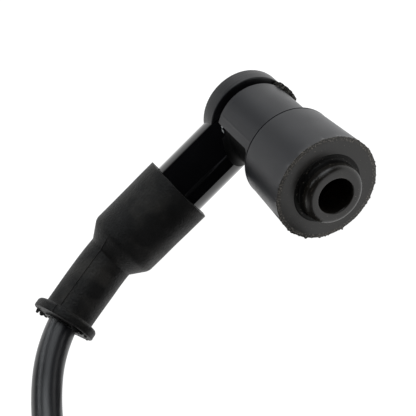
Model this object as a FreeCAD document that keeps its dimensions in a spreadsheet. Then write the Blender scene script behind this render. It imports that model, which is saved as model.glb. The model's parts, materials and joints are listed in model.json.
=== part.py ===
"""Ignition coil of a small engine: laminated core, potted coil block, high-tension lead and plug cap.

The row frame: the two mounting holes are drilled along Z, the origin is midway between them on the
core's underside, +Z is up, and the poles face +Y.  The coil block reaches below the core, and its
bottom, the cap's rubber boot and the lead all lie on one level floor.  Sizes are in millimetres.

The plug cap is an elbow.  Its arm runs along -X and takes the lead, its barrel runs along -Y and goes
on the spark plug, and their axes cross at the elbow's centre.
"""

import FreeCAD, Part
import math
import os
import re
import sys

SIZES = {
    # laminated core
    "core_stack": 12.0,
    "bar_width": 11.0,
    "bar_back": 24.0,  # from the mounting holes back to the bar's centre line
    "leg_width": 14.0,
    "leg_seat": 2.0,  # how deep the bar's ends are pressed into the legs
    "hole_spacing": 56.0,
    "hole_radius": 3.25,
    "flywheel_radius": 46.5,
    "pole_reach": 9.0,  # from a mounting hole's centre to its pole face
    "rivet_radius": 1.5,
    "rivet_head_radius": 2.6,
    "rivet_head_height": 0.9,
    "rivet_pitch": 13.0,
    # windings and their bobbins, from the bar outwards
    "bobbin_gap": 0.15,
    "bobbin_wall": 0.9,
    "primary_depth": 1.6,
    "nest_gap": 0.25,
    "secondary_wall": 0.8,
    "secondary_depth": 2.6,
    "flange_thickness": 1.0,
    # potting cup
    "case_wall": 1.6,
    "resin_gap": 0.6,
    "resin_below_rim": 0.8,
    "case_width": 38.0,
    "end_resin": 2.4,  # between the bobbins' flanges and the cup's sides
    "back_resin": 4.6,  # behind the windings
    # switching module and terminals
    "board_length": 24.0,
    "board_height": 12.0,
    "board_thickness": 1.0,
    "board_gap": 0.8,
    "board_rise": 6.0,  # its middle over the core's
    "chip_side": 6.0,
    "chip_thickness": 1.4,
    "chip_gap": 0.4,
    "chip_rise": 3.0,
    "blade_width": 6.3,
    "blade_thickness": 0.8,
    "blade_reach": 9.0,
    "blade_across": 9.0,
    "blade_up": 13.5,
    "blade_hole_radius": 1.0,
    "blade_hole_back": 3.0,
    "ground_radius": 0.6,
    "ground_drop": 2.0,
    # outlet for the high-tension lead
    "tower_edge": 0.1,  # between the tower and the cup's back face
    "tower_height": 8.5,  # axis above the floor
    "tower_wall": 1.0,
    "tower_run": 11.7,  # from the tower's mouth to the lead's last bend
    "tower_length": 8.5,
    "gland_wall": 1.4,
    "gland_depth": 5.5,
    "contact_radius": 2.5,
    "contact_thickness": 0.8,
    # high-tension lead
    "lead_radius": 3.5,
    "conductor_radius": 1.2,
    "lead_gap": 0.1,
    # plug cap moulding
    "elbow_across": 40.0,  # the elbow's centre from the origin
    "elbow_ahead": 111.0,
    "barrel_radius": 8.5,
    "barrel_front": 31.5,
    "rim_step": 1.8,
    "rim_back": 4.2,
    "rim_front": 0.3,
    "arm_radius": 6.75,
    "arm_length": 42.0,
    "tab_width": 5.0,
    "tab_reach": 3.5,
    "tab_thickness": 0.6,
    "chamber_radius": 5.2,
    "cover_lap": 0.1,
    "cover_crown_radius": 5.2,
    "cover_edge": 0.8,
    "cover_rise": 2.4,
    "cover_spigot": 1.2,
    # what the cap holds
    "lead_start": 20.0,  # along the arm, from the elbow's centre
    "screw_radius": 1.2,
    "screw_bite": 8.0,
    "screw_head_radius": 2.6,
    "screw_head_height": 1.6,
    "disc_radius": 5.0,
    "disc_back": 2.8,
    "disc_thickness": 0.8,
    "resistor_radius": 2.4,
    "resistor_cap_length": 1.6,
    "resistor_cap_wall": 0.3,
    "spring_radius": 2.4,
    "spring_wire": 0.3,
    "spring_room": 4.1,
    "spring_turns": 3,
    "socket_radius": 4.1,
    "socket_bore": 3.2,
    "socket_length": 11.4,
    "socket_floor": 2.0,
    "socket_lip": 0.7,  # stands out of its bore, into the chamber
    "socket_recess": 4.0,  # from the barrel's front
    "clip_wire": 0.35,
    "clip_gap": 0.02,
    "clip_back": 4.0,
    # rubber boot over the barrel
    "fit_gap": 0.05,
    "sleeve_wall": 1.05,
    "sleeve_back": 2.1,
    "slot_gap": 0.55,  # beside the arm
    "slot_front": 16.5,
    "boot_back": 18.7,
    "skirt_back_wall": 2.6,
    "skirt_front_wall": 3.5,
    "front_wall": 3.65,
    "nose_radius": 6.85,
    "nose_length": 3.75,
    "plug_bore_radius": 4.15,
    # rubber boot over the arm and the lead
    "cuff_grip": 18.5,
    "cuff_wall": 1.95,
    "cuff_draft": 0.15,
    "cuff_short": 0.3,  # where its cone starts, before the arm's end
    "cone_reach": 3.5,
    "neck_wall": 2.4,
    "bend_radius": 35.3,
    "bend_angle": 24.6,
    "neck_tail": 3.6,
    "bead_radius": 7.75,
    "bead_thickness": 2.2,
    "lip_wall": 1.1,
    "lip_length": 1.6,
    "mouth_gap": 0.3,
    # how far a cutting tool runs past the face it starts from
    "overshoot": 1.0,
}

# Sizes that follow from the others.
DERIVED = {
    "bar_rear": "-bar_back - bar_width / 2",
    "bar_fore": "-bar_back + bar_width / 2",
    "leg_in": "hole_spacing / 2 - leg_width / 2",
    "leg_out": "hole_spacing / 2 + leg_width / 2",
    # faces of the nested bobbins and windings, measured from the bar's
    "primary_in": "bobbin_gap + bobbin_wall",
    "primary_out": "primary_in + primary_depth",
    "nest_in": "primary_out + nest_gap",
    "secondary_in": "nest_in + secondary_wall",
    "secondary_out": "secondary_in + secondary_depth",
    "bobbin_length": "case_width - 2 * case_wall - 2 * end_resin",
    "gland_radius": "lead_radius + gland_wall",
    "tower_radius": "gland_radius + tower_wall",
    "case_rear": "bar_rear - max(secondary_out + back_resin + case_wall; 2 * (tower_radius + tower_edge))",
    "case_fore": "bar_fore + secondary_out + chip_gap + chip_thickness + board_thickness + board_gap + case_wall",
    "floor_level": "-(secondary_out + resin_gap + case_wall)",
    "case_top": "core_stack + secondary_out + resin_gap + case_wall",
    "tower_along": "case_rear + tower_radius + tower_edge",
    "tower_up": "floor_level + tower_height",
    # plug cap
    "rim_radius": "barrel_radius + rim_step",
    "cover_radius": "barrel_radius + cover_lap",
    "socket_front": "barrel_front - socket_recess",
    "socket_back": "socket_front - socket_length",
    "chamber_front": "socket_back - socket_lip",
    "resistor_start": "disc_back + disc_thickness",
    "resistor_end": "socket_back - spring_room",
    # boots
    "sleeve_radius": "barrel_radius + fit_gap + sleeve_wall",
    "slot_half_width": "arm_radius + slot_gap",
    "boot_back_radius": "barrel_radius + fit_gap + skirt_back_wall",
    "boot_front_radius": "barrel_radius + fit_gap + skirt_front_wall",
    "boot_front": "barrel_front + fit_gap + front_wall",
    "nose_front": "boot_front + nose_length",
    "elbow_up": "floor_level + boot_front_radius",
    "cuff_start": "arm_length - cuff_grip",
    "cuff_start_radius": "arm_radius + fit_gap + cuff_wall",
    "cuff_end": "arm_length - cuff_short",
    "cuff_end_radius": "cuff_start_radius - cuff_draft",
    "bend_start": "arm_length + cone_reach",
    "neck_radius": "lead_radius + fit_gap + neck_wall",
    "lip_radius": "lead_radius + mouth_gap + lip_wall",
}

# The lead's route beyond the boot's bend, in corners: from the elbow along the arm and along the barrel,
# then out of the tower and ahead of it, each with the height of the lead's underside above the floor.
ROUTE_FROM_ELBOW = [(79.5, 17.2, 4.5), (87.6, 34.6, 0.05), (100.0, 55.5, 0.05), (108.5, 81.5, 0.05)]
ROUTE_TO_TOWER = [(41.0, 29.3, 0.05), (30.3, 10.7, 2.5)]
ARC_SHARE = 0.45  # of the shorter run, taken by an arc at each of its ends

doc = FreeCAD.newDocument("ignition_coil")
sheet = doc.addObject("Spreadsheet::Sheet", "Sizes")
CELLS = {**SIZES, **{alias: "=" + text for alias, text in DERIVED.items()}}
for row, (alias, value) in enumerate(CELLS.items(), start=1):
    sheet.set(f"A{row}", alias)
    sheet.setAlias(f"B{row}", alias)
    sheet.set(f"B{row}", str(value))
doc.recompute()

ALIASES = re.compile(r"\b(" + "|".join(CELLS) + r")\b")
SUBPARTS = []


def size(alias):
    """A dimension, read back from the sheet."""
    return float(sheet.get(alias))


def formula(text):
    """An expression on the sheet's cells, from one that gives only their aliases."""
    return ALIASES.sub(r"Sizes.\1", str(text))


def bound(kind, label, **sizes):
    """A new document object whose properties follow expressions."""
    thing = doc.addObject(kind, label)
    for name, text in sizes.items():
        thing.setExpression(name, formula(text))
    return thing


def subpart(thing, label):
    """Marks an object as a finished sub-part, with the name of its node."""
    thing.Label = label
    SUBPARTS.append(thing)
    return thing


TURNS = {
    "+Z": (FreeCAD.Rotation(), (0, 0, 1)),
    "-X": (FreeCAD.Rotation(FreeCAD.Vector(0, 1, 0), -90), (-1, 0, 0)),
    "-Y": (FreeCAD.Rotation(FreeCAD.Vector(1, 0, 0), 90), (0, -1, 0)),
}


def put(thing, origin, axis="+Z", along="0"):
    """Stands an object's own Z axis along a row axis, some way along it from an origin."""
    turn, way = TURNS[axis]
    thing.Placement = FreeCAD.Placement(FreeCAD.Vector(), turn)
    for letter, start, step in zip("xyz", origin, way):
        thing.setExpression(f"Placement.Base.{letter}", formula(f"({start}) + {step} * ({along})"))
    return thing


def block(label, x, y, z):
    """A box between two expressions along each axis."""
    spans = [f"({high}) - ({low})" for low, high in (x, y, z)]
    thing = bound("Part::Box", label, Length=spans[0], Width=spans[1], Height=spans[2])
    return put(thing, (x[0], y[0], z[0]))


def rod(label, radius, span, origin, axis):
    """A cylinder along an axis, between two distances from an origin."""
    thing = bound("Part::Cylinder", label, Radius=radius, Height=f"({span[1]}) - ({span[0]})")
    return put(thing, origin, axis, span[0])


def taper(label, radii, span, origin, axis):
    """A cone's frustum along an axis, between two distances from an origin."""
    height = f"({span[1]}) - ({span[0]})"
    thing = bound("Part::Cone", label, Radius1=radii[0], Radius2=radii[1], Height=height)
    return put(thing, origin, axis, span[0])


def ring(label, radius, wire, origin, axis, along):
    """A torus about an axis."""
    return put(bound("Part::Torus", label, Radius1=radius, Radius2=wire), origin, axis, along)


def fuse(label, *things):
    """Several solids made one."""
    thing = doc.addObject("Part::MultiFuse", label)
    thing.Shapes = list(things)
    thing.Refine = True
    return thing


def group(label, *things):
    """Several solids that stay apart, in one object."""
    thing = doc.addObject("Part::Compound", label)
    thing.Links = list(things)
    return thing


def cut(label, base, *tools):
    """A solid with others taken out of it."""
    thing = doc.addObject("Part::Cut", label)
    thing.Base = base
    thing.Tool = tools[0] if len(tools) == 1 else fuse(label + "_tools", *tools)
    return thing


def mirrored(label, source):
    """The image of a solid in the YZ plane."""
    thing = doc.addObject("Part::Mirroring", label)
    thing.Source = source
    thing.Normal = FreeCAD.Vector(1, 0, 0)
    return thing


# ---- places that several pieces share
BAR_Y = ("bar_rear", "bar_fore")
STACK = ("0", "core_stack")
THROUGH = ("-overshoot", "core_stack + overshoot")
CASE_X = ("-case_width / 2", "case_width / 2")
CASE_Y = ("case_rear", "case_fore")
INNER_X = ("-case_width / 2 + case_wall", "case_width / 2 - case_wall")
INNER_Y = ("case_rear + case_wall", "case_fore - case_wall")
TOWER = ("-case_width / 2", "tower_along", "tower_up")
ELBOW = ("elbow_across", "elbow_ahead", "elbow_up")


def round_bar(label, out, length):
    """A square bar of the core's section grown by an offset, as long as given, about the core's bar."""
    span_x = (f"-({length}) / 2", f"({length}) / 2")
    span_y = (f"bar_rear - ({out})", f"bar_fore + ({out})")
    span_z = (f"-({out})", f"core_stack + ({out})")
    return block(label, span_x, span_y, span_z)


# ---- laminated core
def core():
    """Two legs with curved poles, the bar pressed between them, and the rivets through the stacks."""
    inside = "leg_in + leg_seat"
    bar = subpart(block("core_bar", (f"-({inside})", inside), BAR_Y, STACK), "core_bar")
    blank = block("leg_blank", ("leg_in", "leg_out"), ("bar_rear", "pole_reach + leg_width"), STACK)
    seat = block("leg_notch", ("leg_in", inside), BAR_Y, STACK)
    axis_y = "pole_reach + sqrt(flywheel_radius ^ 2 - hole_spacing ^ 2 / 4)"
    sweep = rod("flywheel_sweep", "flywheel_radius", THROUGH, ("0", axis_y, "0"), "+Z")
    hole = rod("mounting_hole", "hole_radius", THROUGH, ("hole_spacing / 2", "0", "0"), "+Z")
    rivets, rivet_holes = [], []
    for number, back in enumerate(("-bar_back", "-bar_back + rivet_pitch")):
        spot = ("hole_spacing / 2 + leg_seat / 2", back, "0")
        shank = rod(f"rivet_shank{number}", "rivet_radius", STACK, spot, "+Z")
        flush = taper(f"rivet_flush{number}", ("rivet_head_radius", "rivet_radius"),
                      ("0", "rivet_head_height"), spot, "+Z")
        top = ("core_stack", "core_stack + rivet_head_height")
        head = rod(f"rivet_head{number}", "rivet_head_radius", top, spot, "+Z")
        rivets.append(fuse(f"rivet{number}", shank, flush, head))
        rivet_holes += [rod(f"rivet_hole{number}", "rivet_radius", THROUGH, spot, "+Z"), flush]
    right = cut("core_leg_right", blank, seat, sweep, hole, *rivet_holes)
    subpart(right, "core_leg_right")
    subpart(mirrored("core_leg_left", right), "core_leg_left")
    images = [mirrored(f"{rivet.Name}_left", rivet) for rivet in rivets]
    subpart(group("core_rivets", *rivets, *images), "core_rivets")
    return bar


# ---- bobbins and windings
def spool(label, inner, wall, depth, divisions):
    """A bobbin with flanges round the bar, and the winding in each of its bays."""
    tube = cut(label + "_tube", round_bar(label + "_out", f"{inner} + {wall}", "bobbin_length"),
               round_bar(label + "_in", inner, "bobbin_length + 2 * overshoot"))
    flanges, coils = [], []
    bay = f"((bobbin_length - flange_thickness) / {divisions})"
    for place in range(divisions + 1):
        left = f"-bobbin_length / 2 + {place} * {bay}"
        outline = round_bar(f"{label}_flange{place}", f"{inner} + {wall} + {depth}", "flange_thickness")
        outline.setExpression("Placement.Base.x", formula(left))
        void = round_bar(f"{label}_eye{place}", inner, "flange_thickness")
        void.setExpression("Placement.Base.x", formula(left))
        flanges.append(cut(f"{label}_plate{place}", outline, void))
        if place == divisions:
            continue
        turns = f"{bay} - flange_thickness"
        full = round_bar(f"{label}_turns{place}", f"{inner} + {wall} + {depth}", turns)
        core_void = round_bar(f"{label}_hollow{place}", f"{inner} + {wall}", turns)
        for piece in (full, core_void):
            piece.setExpression("Placement.Base.x", formula(f"{left} + flange_thickness"))
        coils.append(cut(f"{label}_coil{place}", full, core_void))
    bobbin = subpart(fuse(label + "_bobbin", tube, *flanges), label + "_bobbin")
    winding = coils[0] if divisions == 1 else group(label + "_winding", *coils)
    return bobbin, subpart(winding, label + "_winding")


# ---- coil block
def coil_block(bar, wound):
    """The potting cup with its outlet tower, what is sealed in it, and the resin round it all."""
    outside = block("case_outside", CASE_X, CASE_Y, ("floor_level", "case_top"))
    inside = block("case_inside", INNER_X, INNER_Y, ("floor_level + case_wall", "case_top + overshoot"))
    window = round_bar("case_window", "0", "case_width + 2 * overshoot")
    tower = rod("tower", "tower_radius", ("-case_wall / 2", "tower_length"), TOWER, "-X")
    lead_span = ("-case_wall - overshoot", "tower_length + overshoot")
    lead_way = rod("lead_way", "lead_radius + lead_gap", lead_span, TOWER, "-X")
    mouth = ("tower_length - gland_depth", "tower_length + overshoot")
    gland_way = rod("gland_way", "gland_radius", mouth, TOWER, "-X")
    shell = cut("case_shell", outside, inside)

    board_y = (f"{INNER_Y[1]} - board_gap - board_thickness", f"{INNER_Y[1]} - board_gap")
    board_low = "core_stack / 2 - board_height / 2 + board_rise"
    span = ("-board_length / 2", "board_length / 2")
    board = block("module_board", span, board_y, (board_low, f"{board_low} + board_height"))
    subpart(board, "module_board")
    chip_y = (f"{board_y[0]} - chip_thickness", board_y[0])
    chip_z = (f"{board_low} + chip_rise", f"{board_low} + chip_rise + chip_side")
    chip = subpart(block("switching_chip", ("-chip_side", "0"), chip_y, chip_z), "switching_chip")

    blade_x = ("blade_across - blade_width / 2", "blade_across + blade_width / 2")
    blade_y = (board_y[1], "case_fore + blade_reach")
    blade_z = ("blade_up", "blade_up + blade_thickness")
    blade_blank = block("blade_blank", blade_x, blade_y, blade_z)
    detent_at = ("blade_across", "case_fore + blade_reach - blade_hole_back", "blade_up")
    detent_span = ("-overshoot", "blade_thickness + overshoot")
    detent = rod("blade_detent", "blade_hole_radius", detent_span, detent_at, "+Z")
    blade = subpart(cut("kill_terminal", blade_blank, detent), "kill_terminal")

    ground_at = ("-board_length / 2", f"{board_y[1]} - board_thickness / 2", "core_stack - ground_drop")
    pin = rod("ground_pin", "ground_radius", ("0", "leg_in - board_length / 2"), ground_at, "-X")
    subpart(pin, "ground_pin")

    contact_span = ("-case_wall - contact_thickness", "-case_wall")
    contact = rod("lead_contact", "contact_radius", contact_span, TOWER, "-X")
    subpart(contact, "lead_contact")

    case = cut("coil_case", fuse("case_and_tower", shell, tower), inside, window, lead_way, gland_way,
               blade_blank, pin)
    subpart(case, "coil_case")
    gland = cut("lead_gland", rod("gland_blank", "gland_radius", (mouth[0], "tower_length"), TOWER, "-X"),
                rod("gland_bore", "lead_radius", ("0", mouth[1]), TOWER, "-X"))
    subpart(gland, "lead_gland")
    fill = block("resin_fill", INNER_X, INNER_Y, ("floor_level + case_wall", "case_top - resin_below_rim"))
    resin = cut("potting_resin", fill, bar, *wound, board, chip, blade_blank, pin, contact)
    subpart(resin, "potting_resin")


# ---- plug cap
def cap_body():
    """The elbow moulding: barrel, rim and arm, bored for what it holds, with a tab on the rim."""
    barrel = rod("barrel", "barrel_radius", ("-rim_back", "barrel_front"), ELBOW, "-Y")
    rim = rod("rim", "rim_radius", ("-rim_back", "rim_front"), ELBOW, "-Y")
    arm = rod("arm", "arm_radius", ("0", "arm_length"), ELBOW, "-X")
    tab_x = ("elbow_across + rim_radius - fit_gap - tab_thickness", "elbow_across + rim_radius - fit_gap")
    tab_z = ("elbow_up - tab_width / 2", "elbow_up + tab_width / 2")
    tab = block("rim_tab", tab_x, ("elbow_ahead - tab_reach", "elbow_ahead"), tab_z)
    chamber = rod("chamber", "chamber_radius", ("-rim_back - overshoot", "chamber_front"), ELBOW, "-Y")
    socket_way = rod("socket_way", "socket_radius", ("0", "barrel_front"), ELBOW, "-Y")
    plug_room = rod("plug_room", "chamber_radius", ("socket_front", "barrel_front + overshoot"), ELBOW, "-Y")
    screw_way = rod("screw_way", "screw_radius + lead_gap", ("0", "lead_start"), ELBOW, "-X")
    lead_way = rod("arm_bore", "lead_radius + lead_gap", ("lead_start", "arm_length + overshoot"), ELBOW, "-X")
    solid = fuse("cap_blank", barrel, rim, arm, tab)
    subpart(cut("cap_body", solid, chamber, socket_way, plug_room, screw_way, lead_way), "cap_body")


def end_cover():
    """The low domed cover glued on the barrel's back, notched round the arm."""
    disc = rod("cover_disc", "cover_radius", ("-rim_back - cover_edge", "-rim_back"), ELBOW, "-Y")
    low = ("-rim_back - cover_rise", "-rim_back - cover_edge")
    dome = taper("cover_dome", ("cover_crown_radius", "cover_radius"), low, ELBOW, "-Y")
    spigot_span = ("-rim_back", "-rim_back + cover_spigot")
    spigot = rod("cover_spigot", "chamber_radius - fit_gap", spigot_span, ELBOW, "-Y")
    notch = rod("cover_notch", "arm_radius + fit_gap", ("0", "arm_length"), ELBOW, "-X")
    blank = fuse("cover_blank", disc, dome, spigot)
    subpart(cut("end_cover", blank, notch), "end_cover")


def cap_contacts():
    """The screw that bites into the lead, and the chain from it to the spark plug's terminal."""
    shank = rod("screw_shank", "screw_radius", ("0", "lead_start + screw_bite"), ELBOW, "-X")
    head = rod("screw_head", "screw_head_radius", ("-screw_head_height", "0"), ELBOW, "-X")
    subpart(fuse("cable_screw", shank, head), "cable_screw")

    disc_span = ("disc_back", "resistor_start")
    subpart(rod("contact_disc", "disc_radius", disc_span, ELBOW, "-Y"), "contact_disc")

    start, end = "resistor_start", "resistor_end"
    inner = "resistor_radius - resistor_cap_wall"
    rod_span = (f"{start} + resistor_cap_wall", f"{end} - resistor_cap_wall")
    whole = rod("resistor_whole", "resistor_radius - resistor_cap_wall", rod_span, ELBOW, "-Y")
    body = rod("resistor_middle", "resistor_radius - fit_gap",
               (f"{start} + resistor_cap_length", f"{end} - resistor_cap_length"), ELBOW, "-Y")
    subpart(fuse("resistor", whole, body), "resistor")
    caps = []
    for number, (outer, hollow) in enumerate((
        ((start, f"{start} + resistor_cap_length"), (rod_span[0], f"{start} + resistor_cap_length + overshoot")),
        ((f"{end} - resistor_cap_length", end), (f"{end} - resistor_cap_length - overshoot", rod_span[1])),
    )):
        skin = rod(f"cap_skin{number}", "resistor_radius", outer, ELBOW, "-Y")
        void = rod(f"cap_void{number}", inner, hollow, ELBOW, "-Y")
        caps.append(cut(f"resistor_cap{number}", skin, void))
    subpart(group("resistor_caps", *caps), "resistor_caps")

    outer = rod("socket_outside", "socket_radius", ("socket_back", "socket_front"), ELBOW, "-Y")
    hollow_span = ("socket_back + socket_floor", "socket_front + overshoot")
    hollow = rod("socket_hollow", "socket_bore", hollow_span, ELBOW, "-Y")
    clip_at = "socket_front - clip_back"
    groove = ring("clip_groove", "socket_bore", "clip_wire + clip_gap", ELBOW, "-Y", clip_at)
    subpart(cut("plug_terminal", outer, hollow, groove), "plug_terminal")
    subpart(ring("terminal_clip", "socket_bore", "clip_wire", ELBOW, "-Y", clip_at), "terminal_clip")

    room = size("spring_room") - 2 * size("spring_wire") - 2 * size("fit_gap")
    turns = size("spring_turns")
    radius, wire = size("spring_radius") - size("spring_wire"), size("spring_wire")
    path = Part.makeHelix(room / turns, room, radius)
    section = Part.Wire(Part.makeCircle(wire, FreeCAD.Vector(radius, 0, 0), FreeCAD.Vector(0, 1, 0)))
    coil = Part.Wire(path).makePipeShell([section], True, True)
    spring = doc.addObject("Part::Feature", "contact_spring")
    spring.Shape = coil
    put(spring, ELBOW, "-Y", f"{end} + spring_wire + fit_gap")
    subpart(spring, "contact_spring")


def plug_boot():
    """The rubber boot over the barrel: thin slotted sleeve, thick skirt and nose with the plug's bore."""
    sleeve = rod("sleeve", "sleeve_radius", ("sleeve_back", "boot_back"), ELBOW, "-Y")
    skirt = taper("skirt", ("boot_back_radius", "boot_front_radius"), ("boot_back", "boot_front"), ELBOW, "-Y")
    nose = rod("nose", "nose_radius", ("boot_front", "nose_front"), ELBOW, "-Y")
    inside = rod("boot_inside", "barrel_radius + fit_gap", ("0", "barrel_front + fit_gap"), ELBOW, "-Y")
    bore = rod("plug_bore", "plug_bore_radius", ("barrel_front", "nose_front + overshoot"), ELBOW, "-Y")
    slot_y = ("elbow_ahead - slot_front", "elbow_ahead")
    slot_z = ("elbow_up - slot_half_width", "elbow_up + slot_half_width")
    slot = block("arm_slot", ("elbow_across - sleeve_radius - overshoot", "elbow_across"), slot_y, slot_z)
    subpart(cut("plug_boot", fuse("boot_blank", sleeve, skirt, nose), inside, bore, slot), "plug_boot")


# ---- lead and its boot
def lead_points():
    """The route's corners: out of the arm, round the boot's bend, over the floor and into the tower."""
    low = size("floor_level") + size("lead_radius")
    elbow = FreeCAD.Vector(size("elbow_across"), size("elbow_ahead"), size("elbow_up"))
    angle = math.radians(size("bend_angle"))
    tangent = size("bend_radius") * math.tan(angle / 2)
    corner = size("bend_start") + tangent
    run = tangent / ARC_SHARE
    points = [elbow - FreeCAD.Vector(size("lead_start"), 0, 0), elbow - FreeCAD.Vector(corner, 0, 0)]
    points.append(points[-1] - FreeCAD.Vector(run * math.cos(angle), run * math.sin(angle), 0))
    for along_arm, along_barrel, height in ROUTE_FROM_ELBOW:
        points.append(FreeCAD.Vector(elbow.x - along_arm, elbow.y - along_barrel, low + height))
    mouth = FreeCAD.Vector(-size("case_width") / 2 - size("tower_length"), size("tower_along"), size("tower_up"))
    for out, ahead, height in ROUTE_TO_TOWER:
        points.append(FreeCAD.Vector(mouth.x - out, mouth.y + ahead, low + height))
    inside = size("tower_length") + size("case_wall")
    points += [mouth - FreeCAD.Vector(size("tower_run"), 0, 0), mouth + FreeCAD.Vector(inside, 0, 0)]
    return points


def rounded_path(points):
    """Straight runs joined by tangent arcs, as one wire, and the arcs' radii."""
    edges, radii, start = [], [], points[0]
    for before, corner, after in zip(points, points[1:], points[2:]):
        back, ahead = before - corner, after - corner
        reach = ARC_SHARE * min(back.Length, ahead.Length)
        half_turn = (math.pi - back.getAngle(ahead)) / 2
        radii.append(reach / math.tan(half_turn))
        back.normalize()
        ahead.normalize()
        enter, leave = corner + back * reach, corner + ahead * reach
        inward = back + ahead
        inward.normalize()
        middle = corner + inward * (radii[-1] / math.cos(half_turn) - radii[-1])
        edges.append(Part.LineSegment(start, enter).toShape())
        edges.append(Part.Arc(enter, middle, leave).toShape())
        start = leave
    edges.append(Part.LineSegment(start, points[-1]).toShape())
    return Part.Wire(edges), radii


def tube(path, radius):
    """A round rod along a path that starts along -X."""
    start = path.Edges[0].valueAt(path.Edges[0].FirstParameter)
    section = Part.Wire(Part.makeCircle(radius, start, FreeCAD.Vector(-1, 0, 0)))
    return path.makePipeShell([section], True, True)


def lead():
    """The high-tension lead: its core of copper strands and its insulating jacket."""
    points = lead_points()
    path, radii = rounded_path(points)
    bore = max(size("screw_radius"), size("conductor_radius")) + size("fit_gap")
    outer, hollow = tube(path, size("lead_radius")), tube(path, bore)
    jacket = doc.addObject("Part::Feature", "lead_jacket")
    jacket.Shape = outer.cut(hollow)
    subpart(jacket, "lead_jacket")
    screw_end = points[0] - FreeCAD.Vector(size("screw_bite") + size("lead_gap"), 0, 0)
    conductor = doc.addObject("Part::Feature", "lead_conductor")
    conductor.Shape = tube(path_after(path, screw_end), size("conductor_radius"))
    subpart(conductor, "lead_conductor")
    expected = math.pi * size("lead_radius") ** 2 * path.Length
    print("lead runs", [round((b - a).Length, 1) for a, b in zip(points, points[1:])])
    print("lead arc radii", [round(radius, 1) for radius in radii])
    print("lead length", round(path.Length, 1), "volume over section times length",
          round(outer.Volume / expected, 4))


def path_after(path, start):
    """The same path with its first straight run begun at a later point."""
    first = path.Edges[0]
    end = first.valueAt(first.LastParameter)
    return Part.Wire([Part.LineSegment(start, end).toShape()] + path.Edges[1:])


def cable_boot():
    """The rubber boot over the arm's end: cuff, cone, bent neck and beaded mouth."""
    cuff = taper("cuff", ("cuff_start_radius", "cuff_end_radius"), ("cuff_start", "cuff_end"), ELBOW, "-X")
    cone = taper("cone", ("cuff_end_radius", "neck_radius"), ("cuff_end", "bend_start"), ELBOW, "-X")
    cuff_way = rod("cuff_way", "arm_radius + fit_gap", ("0", "arm_length + fit_gap"), ELBOW, "-X")
    lead_way = rod("cone_way", "lead_radius + fit_gap", ("arm_length", "bend_start"), ELBOW, "-X")
    centre = ("elbow_across - bend_start", "elbow_ahead - bend_radius", ELBOW[2])
    neck, neck_way = [
        put(bound("Part::Torus", name, Radius1="bend_radius", Radius2=radius, Angle3="bend_angle"), centre)
        for name, radius in (("neck", "neck_radius"), ("neck_way", "lead_radius + fit_gap"))
    ]
    for bend in (neck, neck_way):
        bend.Placement = FreeCAD.Placement(bend.Placement.Base, FreeCAD.Rotation(FreeCAD.Vector(0, 0, 1), 90))
    tail = [("tail", "neck_radius", "0", "neck_tail"),
            ("bead", "bead_radius", "neck_tail - bead_thickness", "neck_tail"),
            ("lip", "lip_radius", "neck_tail", "neck_tail + lip_length"),
            ("tail_way", "lead_radius + fit_gap", "0", "neck_tail"),
            ("mouth", "lead_radius + mouth_gap", "bead_thickness / 2", "neck_tail + lip_length")]
    ends = [after_bend(*piece) for piece in tail]
    blank = fuse("cable_boot_blank", cuff, cone, neck, *ends[:3])
    subpart(cut("cable_boot", blank, cuff_way, lead_way, neck_way, *ends[3:]), "cable_boot")


def after_bend(label, radius, begin, end):
    """A cylinder on the neck's line beyond its bend."""
    thing = bound("Part::Cylinder", label, Radius=radius, Height=f"({end}) - ({begin})")
    angle = size("bend_angle")
    turn = FreeCAD.Rotation(FreeCAD.Vector(0, 0, 1), angle).multiply(TURNS["-X"][0])
    thing.Placement = FreeCAD.Placement(FreeCAD.Vector(), turn)
    across = f"elbow_across - bend_start - bend_radius * sin(bend_angle) - ({begin}) * cos(bend_angle)"
    ahead = f"elbow_ahead - bend_radius * (1 - cos(bend_angle)) - ({begin}) * sin(bend_angle)"
    for letter, text in zip("xyz", (across, ahead, ELBOW[2])):
        thing.setExpression(f"Placement.Base.{letter}", formula(text))
    return thing


# ---- build, check and write
bar = core()
primary = spool("primary", "bobbin_gap", "bobbin_wall", "primary_depth", 1)
secondary = spool("secondary", "nest_in", "secondary_wall", "secondary_depth", 3)
wound_volume = round_bar("wound_volume", "secondary_out", "bobbin_length")
coil_block(bar, [wound_volume])
cap_body()
end_cover()
cap_contacts()
plug_boot()
cable_boot()
lead()
doc.recompute()

faults = [thing.Label for thing in doc.Objects if {"Invalid", "Error"} & set(thing.State)]
for thing in SUBPARTS:
    if thing.Shape.isNull() or not thing.Shape.isValid() or not thing.Shape.Solids:
        faults.append(f"{thing.Label} has no valid solid")
if faults:
    sys.exit(f"not written, because of {faults}")
os.makedirs("parts", exist_ok=True)
for thing in SUBPARTS:
    thing.Shape.exportStep(f"parts/{thing.Label}.step")
    print(thing.Label, len(thing.Shape.Solids), "solids", round(thing.Shape.Volume, 1), "mm3")
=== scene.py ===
"""Looks of a small engine's ignition coil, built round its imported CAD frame.

The plug cap, its two rubber boots and the high-tension lead lie on a pale floor, with the potted coil
block at the lead's far end.  Sizes in the classes are millimetres, and every mesh is made in metres in
the row frame, so that each piece sits where the CAD puts it.
"""

import json
import logging
import math
from dataclasses import dataclass
from enum import Enum
from itertools import product
from typing import Callable, Dict, List, Sequence, Tuple

import bmesh
import bpy
from mathutils import Matrix, Vector

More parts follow.
